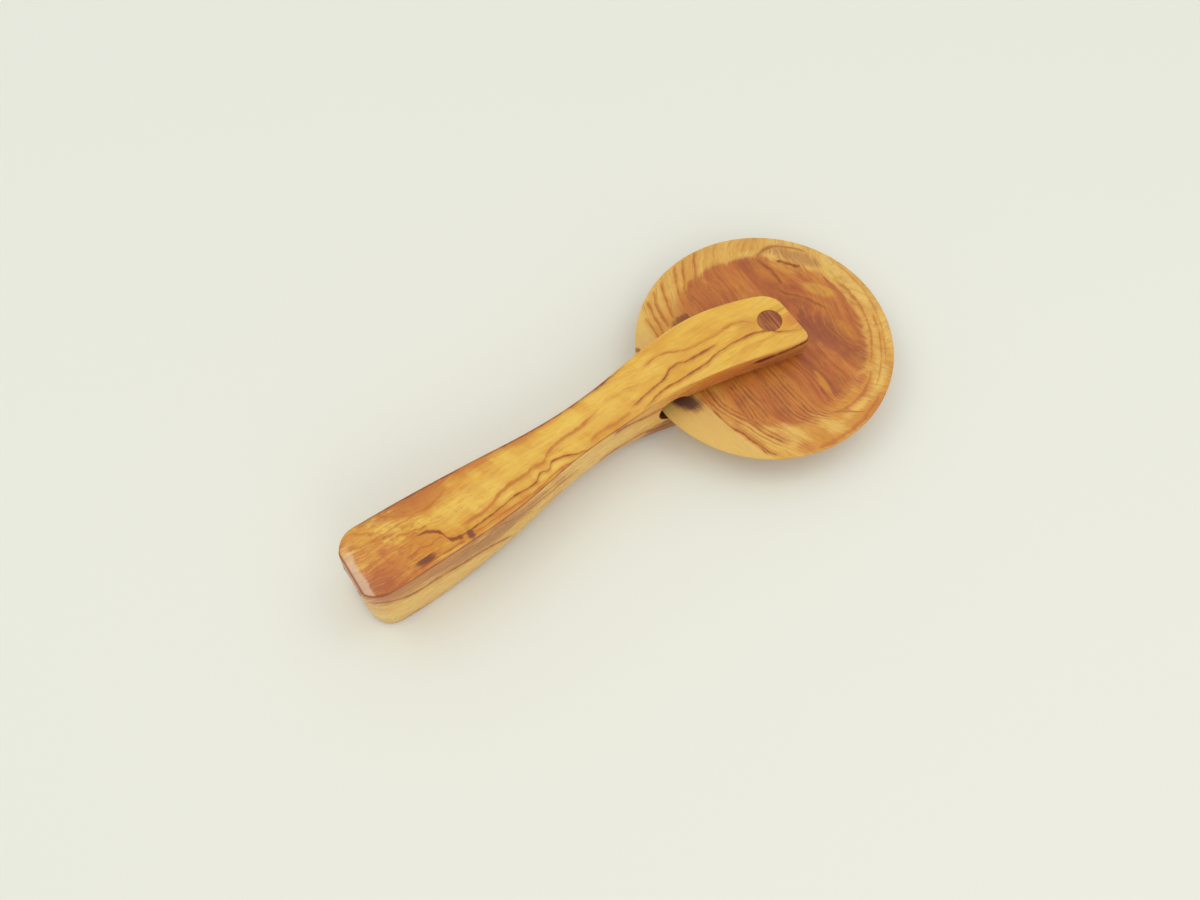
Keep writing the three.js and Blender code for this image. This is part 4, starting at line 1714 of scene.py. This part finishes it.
@dataclass
class Wheel(Piece):
    """The turned cutting wheel: flat in the middle, bevelled on both faces to a thin rim.

    Attributes:
        low: The lowest corner of the wheel in the frame.
        high: The highest corner of the wheel in the frame.
        dowel_radius: The radius of the dowel that it turns on.
    """

    low: Vector
    high: Vector
    dowel_radius: float
    bevel_width: float = 12.9 * MM
    rim_thickness: float = 1.0 * MM
    running_gap: float = 0.4 * MM
    shoulder_ease: float = 1.6 * MM
    rim_ease: float = 0.32 * MM
    rim_wear: float = 0.01 * MM
    sharp_angle: float = 40.0
    turn_steps: int = 180
    ease_steps: int = 4

    def __post_init__(self) -> None:
        """Works out the places that follow from the sizes."""
        self.middle = (self.low + self.high) / 2
        self.radius = (self.high.x - self.low.x) / 2 - self.rim_wear
        self.flat_radius = self.radius - self.bevel_width
        self.bore_radius = self.dowel_radius + self.running_gap

    def build(self) -> bpy.types.Object:
        """Models the wheel by spinning its profile round the axle.

        Returns:
            The wheel's object.
        """
        shape = bmesh.new()
        half_rim = self.rim_thickness / 2
        half_hub = (self.high.z - self.low.z) / 2
        profile = (
            (self.bore_radius, -half_hub), (self.flat_radius, -half_hub), (self.radius, -half_rim),
            (self.radius, half_rim), (self.flat_radius, half_hub), (self.bore_radius, half_hub),
        )
        corners = [shape.verts.new(self.middle + Vector((out, 0.0, up))) for out, up in profile]
        for pair in zip(corners, corners[1:] + corners[:1]):
            bmesh.ops.contextual_create(shape, geom=pair)
        bmesh.ops.spin(
            shape, geom=[*shape.verts, *shape.edges], cent=self.middle, axis=(0.0, 0.0, 1.0),
            angle=2 * math.pi, steps=self.turn_steps, use_merge=True,
        )
        bmesh.ops.remove_doubles(shape, verts=shape.verts, dist=WELD)
        bmesh.ops.recalc_face_normals(shape, faces=shape.faces)
        for radius, ease in ((self.flat_radius, self.shoulder_ease), (self.radius, self.rim_ease)):
            bmesh.ops.bevel(
                shape, geom=self.hoops(shape, radius), offset=ease, offset_type="OFFSET",
                segments=self.ease_steps, profile=0.5, affect="EDGES", material=-1,
            )
        return self.to_object("turned_wheel", shape, self.sharp_angle)

    def hoops(self, shape: bmesh.types.BMesh, radius: float) -> list[bmesh.types.BMEdge]:
        """The edges that run round the wheel at one radius.

        Args:
            shape: The mesh.
            radius: The radius.

        Returns:
            The edges.
        """
        on_circle = {
            vertex for vertex in shape.verts
            if abs((vertex.co.xy - self.middle.xy).length - radius) < TOUCH
        }
        return [
            edge for edge in shape.edges
            if all(vertex in on_circle for vertex in edge.verts)
            and abs(edge.verts[0].co.z - edge.verts[1].co.z) < TOUCH
        ]

    def dress(self, made: bpy.types.Object) -> None:
        """Gives the wheel its wood and its place in the frame.

        Args:
            made: The wheel's object.
        """
        made.data.materials.append(WheelWood(self.middle.x / MM, self.high.z / MM).build())
        self.settle(made, "cutting_wheel", "wheel", "wheel_wood")


@dataclass
class Dowel(Piece):
    """The dowel that the wheel turns on, glued through both cheeks and sanded flush.

    Attributes:
        low: The lowest corner of the dowel in the frame.
        high: The highest corner of the dowel in the frame.
    """

    low: Vector
    high: Vector
    end_ease: float = 0.08 * MM
    end_sink: float = 0.02 * MM
    sharp_angle: float = 40.0
    turn_steps: int = 72
    ease_steps: int = 2

    def build(self) -> bpy.types.Object:
        """Models the dowel from a disc that is extruded along the axle.

        Returns:
            The dowel's object.
        """
        shape = bmesh.new()
        radius = (self.high.x - self.low.x) / 2
        middle = (self.low + self.high) / 2
        base = Matrix.Translation((middle.x, middle.y, self.low.z + self.end_sink))
        bmesh.ops.create_circle(shape, cap_ends=True, radius=radius, segments=self.turn_steps, matrix=base)
        made = bmesh.ops.extrude_face_region(shape, geom=list(shape.faces), use_keep_orig=True)["geom"]
        raised = [item for item in made if isinstance(item, bmesh.types.BMVert)]
        rise = self.high.z - self.low.z - 2 * self.end_sink
        bmesh.ops.translate(shape, verts=raised, vec=(0.0, 0.0, rise))
        bmesh.ops.recalc_face_normals(shape, faces=shape.faces)
        rims = [edge for edge in shape.edges if edge.calc_face_angle(0.0) > SHARP_TURN]
        bmesh.ops.bevel(
            shape, geom=rims, offset=self.end_ease, offset_type="OFFSET", segments=self.ease_steps,
            profile=0.5, affect="EDGES", material=-1,
        )
        return self.to_object("axle_peg", shape, self.sharp_angle)

    def dress(self, made: bpy.types.Object) -> None:
        """Gives the dowel its wood and its place in the frame.

        Args:
            made: The dowel's object.
        """
        made.data.materials.append(DowelWood("dowel_olive_wood").build())
        self.settle(made, "axle_dowel", "handle", "dowel_wood")


@dataclass(frozen=True)
class SoftBox:
    """A square soft lamp.

    Attributes:
        name: Its name.
        heading: Its direction from the object, in degrees from +X towards +Y.
        height: Its height above the horizon, in degrees.
        power: Its power in watts.
    """

    name: str
    heading: float
    height: float
    power: float
    distance: float = 0.9
    side: float = 0.45


@dataclass
class Studio:
    """The floor, the soft light and the camera.

    Attributes:
        target: The middle of the wheel at its rim, which the camera was placed from.
        floor_height: The height of the floor.
    """

    target: Vector
    floor_height: float
    floor_radius: float = 1.1
    floor_steps: int = 180
    camera_offset: Triple = (-169.90 * MM, -145.93 * MM, 349.40 * MM)
    camera_tilt: float = 26.19
    camera_heading: float = -33.7
    lens: float = 33.3
    clip_start: float = 10.0 * MM
    sky_strength: float = 0.82
    sky_tint: Triple = (0.97, 1.0, 1.06)
    lamp_tint: Triple = (1.0, 0.97, 0.88)
    backdrop_strength: float = 0.98
    lamps: tuple[SoftBox, ...] = (
        SoftBox("left_soft_box", 134.0, 58.0, 0.75),
        SoftBox("right_soft_box", -13.0, 58.0, 0.65),
        SoftBox("front_soft_box", -100.0, 35.0, 0.9),
    )

    def lay_floor(self) -> None:
        """Makes the floor."""
        shape = bmesh.new()
        level = Matrix.Translation((0.0, 0.0, self.floor_height))
        bmesh.ops.create_circle(
            shape, cap_ends=True, radius=self.floor_radius, segments=self.floor_steps, matrix=level
        )
        mesh = bpy.data.meshes.new("floor")
        shape.to_mesh(mesh)
        shape.free()
        floor = bpy.data.objects.new("floor", mesh)
        bpy.context.scene.collection.objects.link(floor)
        mesh.materials.append(FloorFinish("pale_floor").build())
        floor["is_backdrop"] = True

    def hang_lamps(self) -> None:
        """Makes the soft boxes, each pointing at the object."""
        for box in self.lamps:
            lamp = bpy.data.lights.new(box.name, "AREA")
            lamp.energy = box.power
            lamp.size = box.side
            lamp.color = self.lamp_tint
            heading, height = math.radians(box.heading), math.radians(box.height)
            level = math.cos(height)
            out = Vector((level * math.cos(heading), level * math.sin(heading), math.sin(height)))
            made = bpy.data.objects.new(box.name, lamp)
            made.location = out * box.distance
            made.rotation_euler = out.to_track_quat("Z", "Y").to_euler()
            bpy.context.scene.collection.objects.link(made)

    def light_sky(self) -> None:
        """Lights the scene evenly, and shows a pale backdrop to the camera."""
        world = bpy.data.worlds.new("studio")
        world.use_nodes = True
        tree = world.node_tree
        tree.nodes.clear()
        rays = tree.nodes.new("ShaderNodeLightPath")
        choice = tree.nodes.new("ShaderNodeMixShader")
        skies = (
            ((*self.sky_tint, 1.0), self.sky_strength),
            (Tone.PAPER.linear, self.backdrop_strength),
        )
        for place, (tint, strength) in enumerate(skies, 1):
            sky = tree.nodes.new("ShaderNodeBackground")
            sky.inputs["Color"].default_value = tint
            sky.inputs["Strength"].default_value = strength
            tree.links.new(sky.outputs[0], choice.inputs[place])
        output = tree.nodes.new("ShaderNodeOutputWorld")
        tree.links.new(rays.outputs["Is Camera Ray"], choice.inputs[0])
        tree.links.new(choice.outputs[0], output.inputs["Surface"])
        bpy.context.scene.world = world

    def set_camera(self) -> None:
        """Places the camera where the photograph was taken from."""
        data = bpy.data.cameras.new("camera")
        data.lens = self.lens
        data.clip_start = self.clip_start
        camera = bpy.data.objects.new("camera", data)
        camera.location = self.target + Vector(self.camera_offset)
        camera.rotation_euler = (math.radians(self.camera_tilt), 0.0, math.radians(self.camera_heading))
        bpy.context.scene.collection.objects.link(camera)
        bpy.context.scene.camera = camera

    def build(self) -> None:
        """Sets up the whole studio."""
        self.lay_floor()
        self.hang_lamps()
        self.light_sky()
        self.set_camera()
        bpy.context.scene.view_settings.view_transform = "Standard"


def main() -> None:
    """Builds the pieces in order, dresses them and sets up the studio."""
    logging.basicConfig(level=logging.INFO, format="%(name)s: %(message)s")
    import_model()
    frame_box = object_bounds()

    dowel_low, dowel_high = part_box("axle_dowel")
    wheel_low, wheel_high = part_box("cutting_wheel")
    handle_low, handle_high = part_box("handle")
    axle = (dowel_low + dowel_high) / 2
    dowel_radius = (dowel_high.x - dowel_low.x) / 2
    wheel_radius = (wheel_high.x - wheel_low.x) / 2

    pieces = (
        Handle(handle_low, handle_high, axle, dowel_radius, wheel_radius),
        Wheel(wheel_low, wheel_high, dowel_radius),
        Dowel(dowel_low, dowel_high),
    )
    for piece in pieces:
        piece.dress(piece.build())

    Studio(target=(wheel_low + wheel_high) / 2, floor_height=frame_box[0].z - FLOOR_GAP).build()


if __name__ == "__main__":
    main()
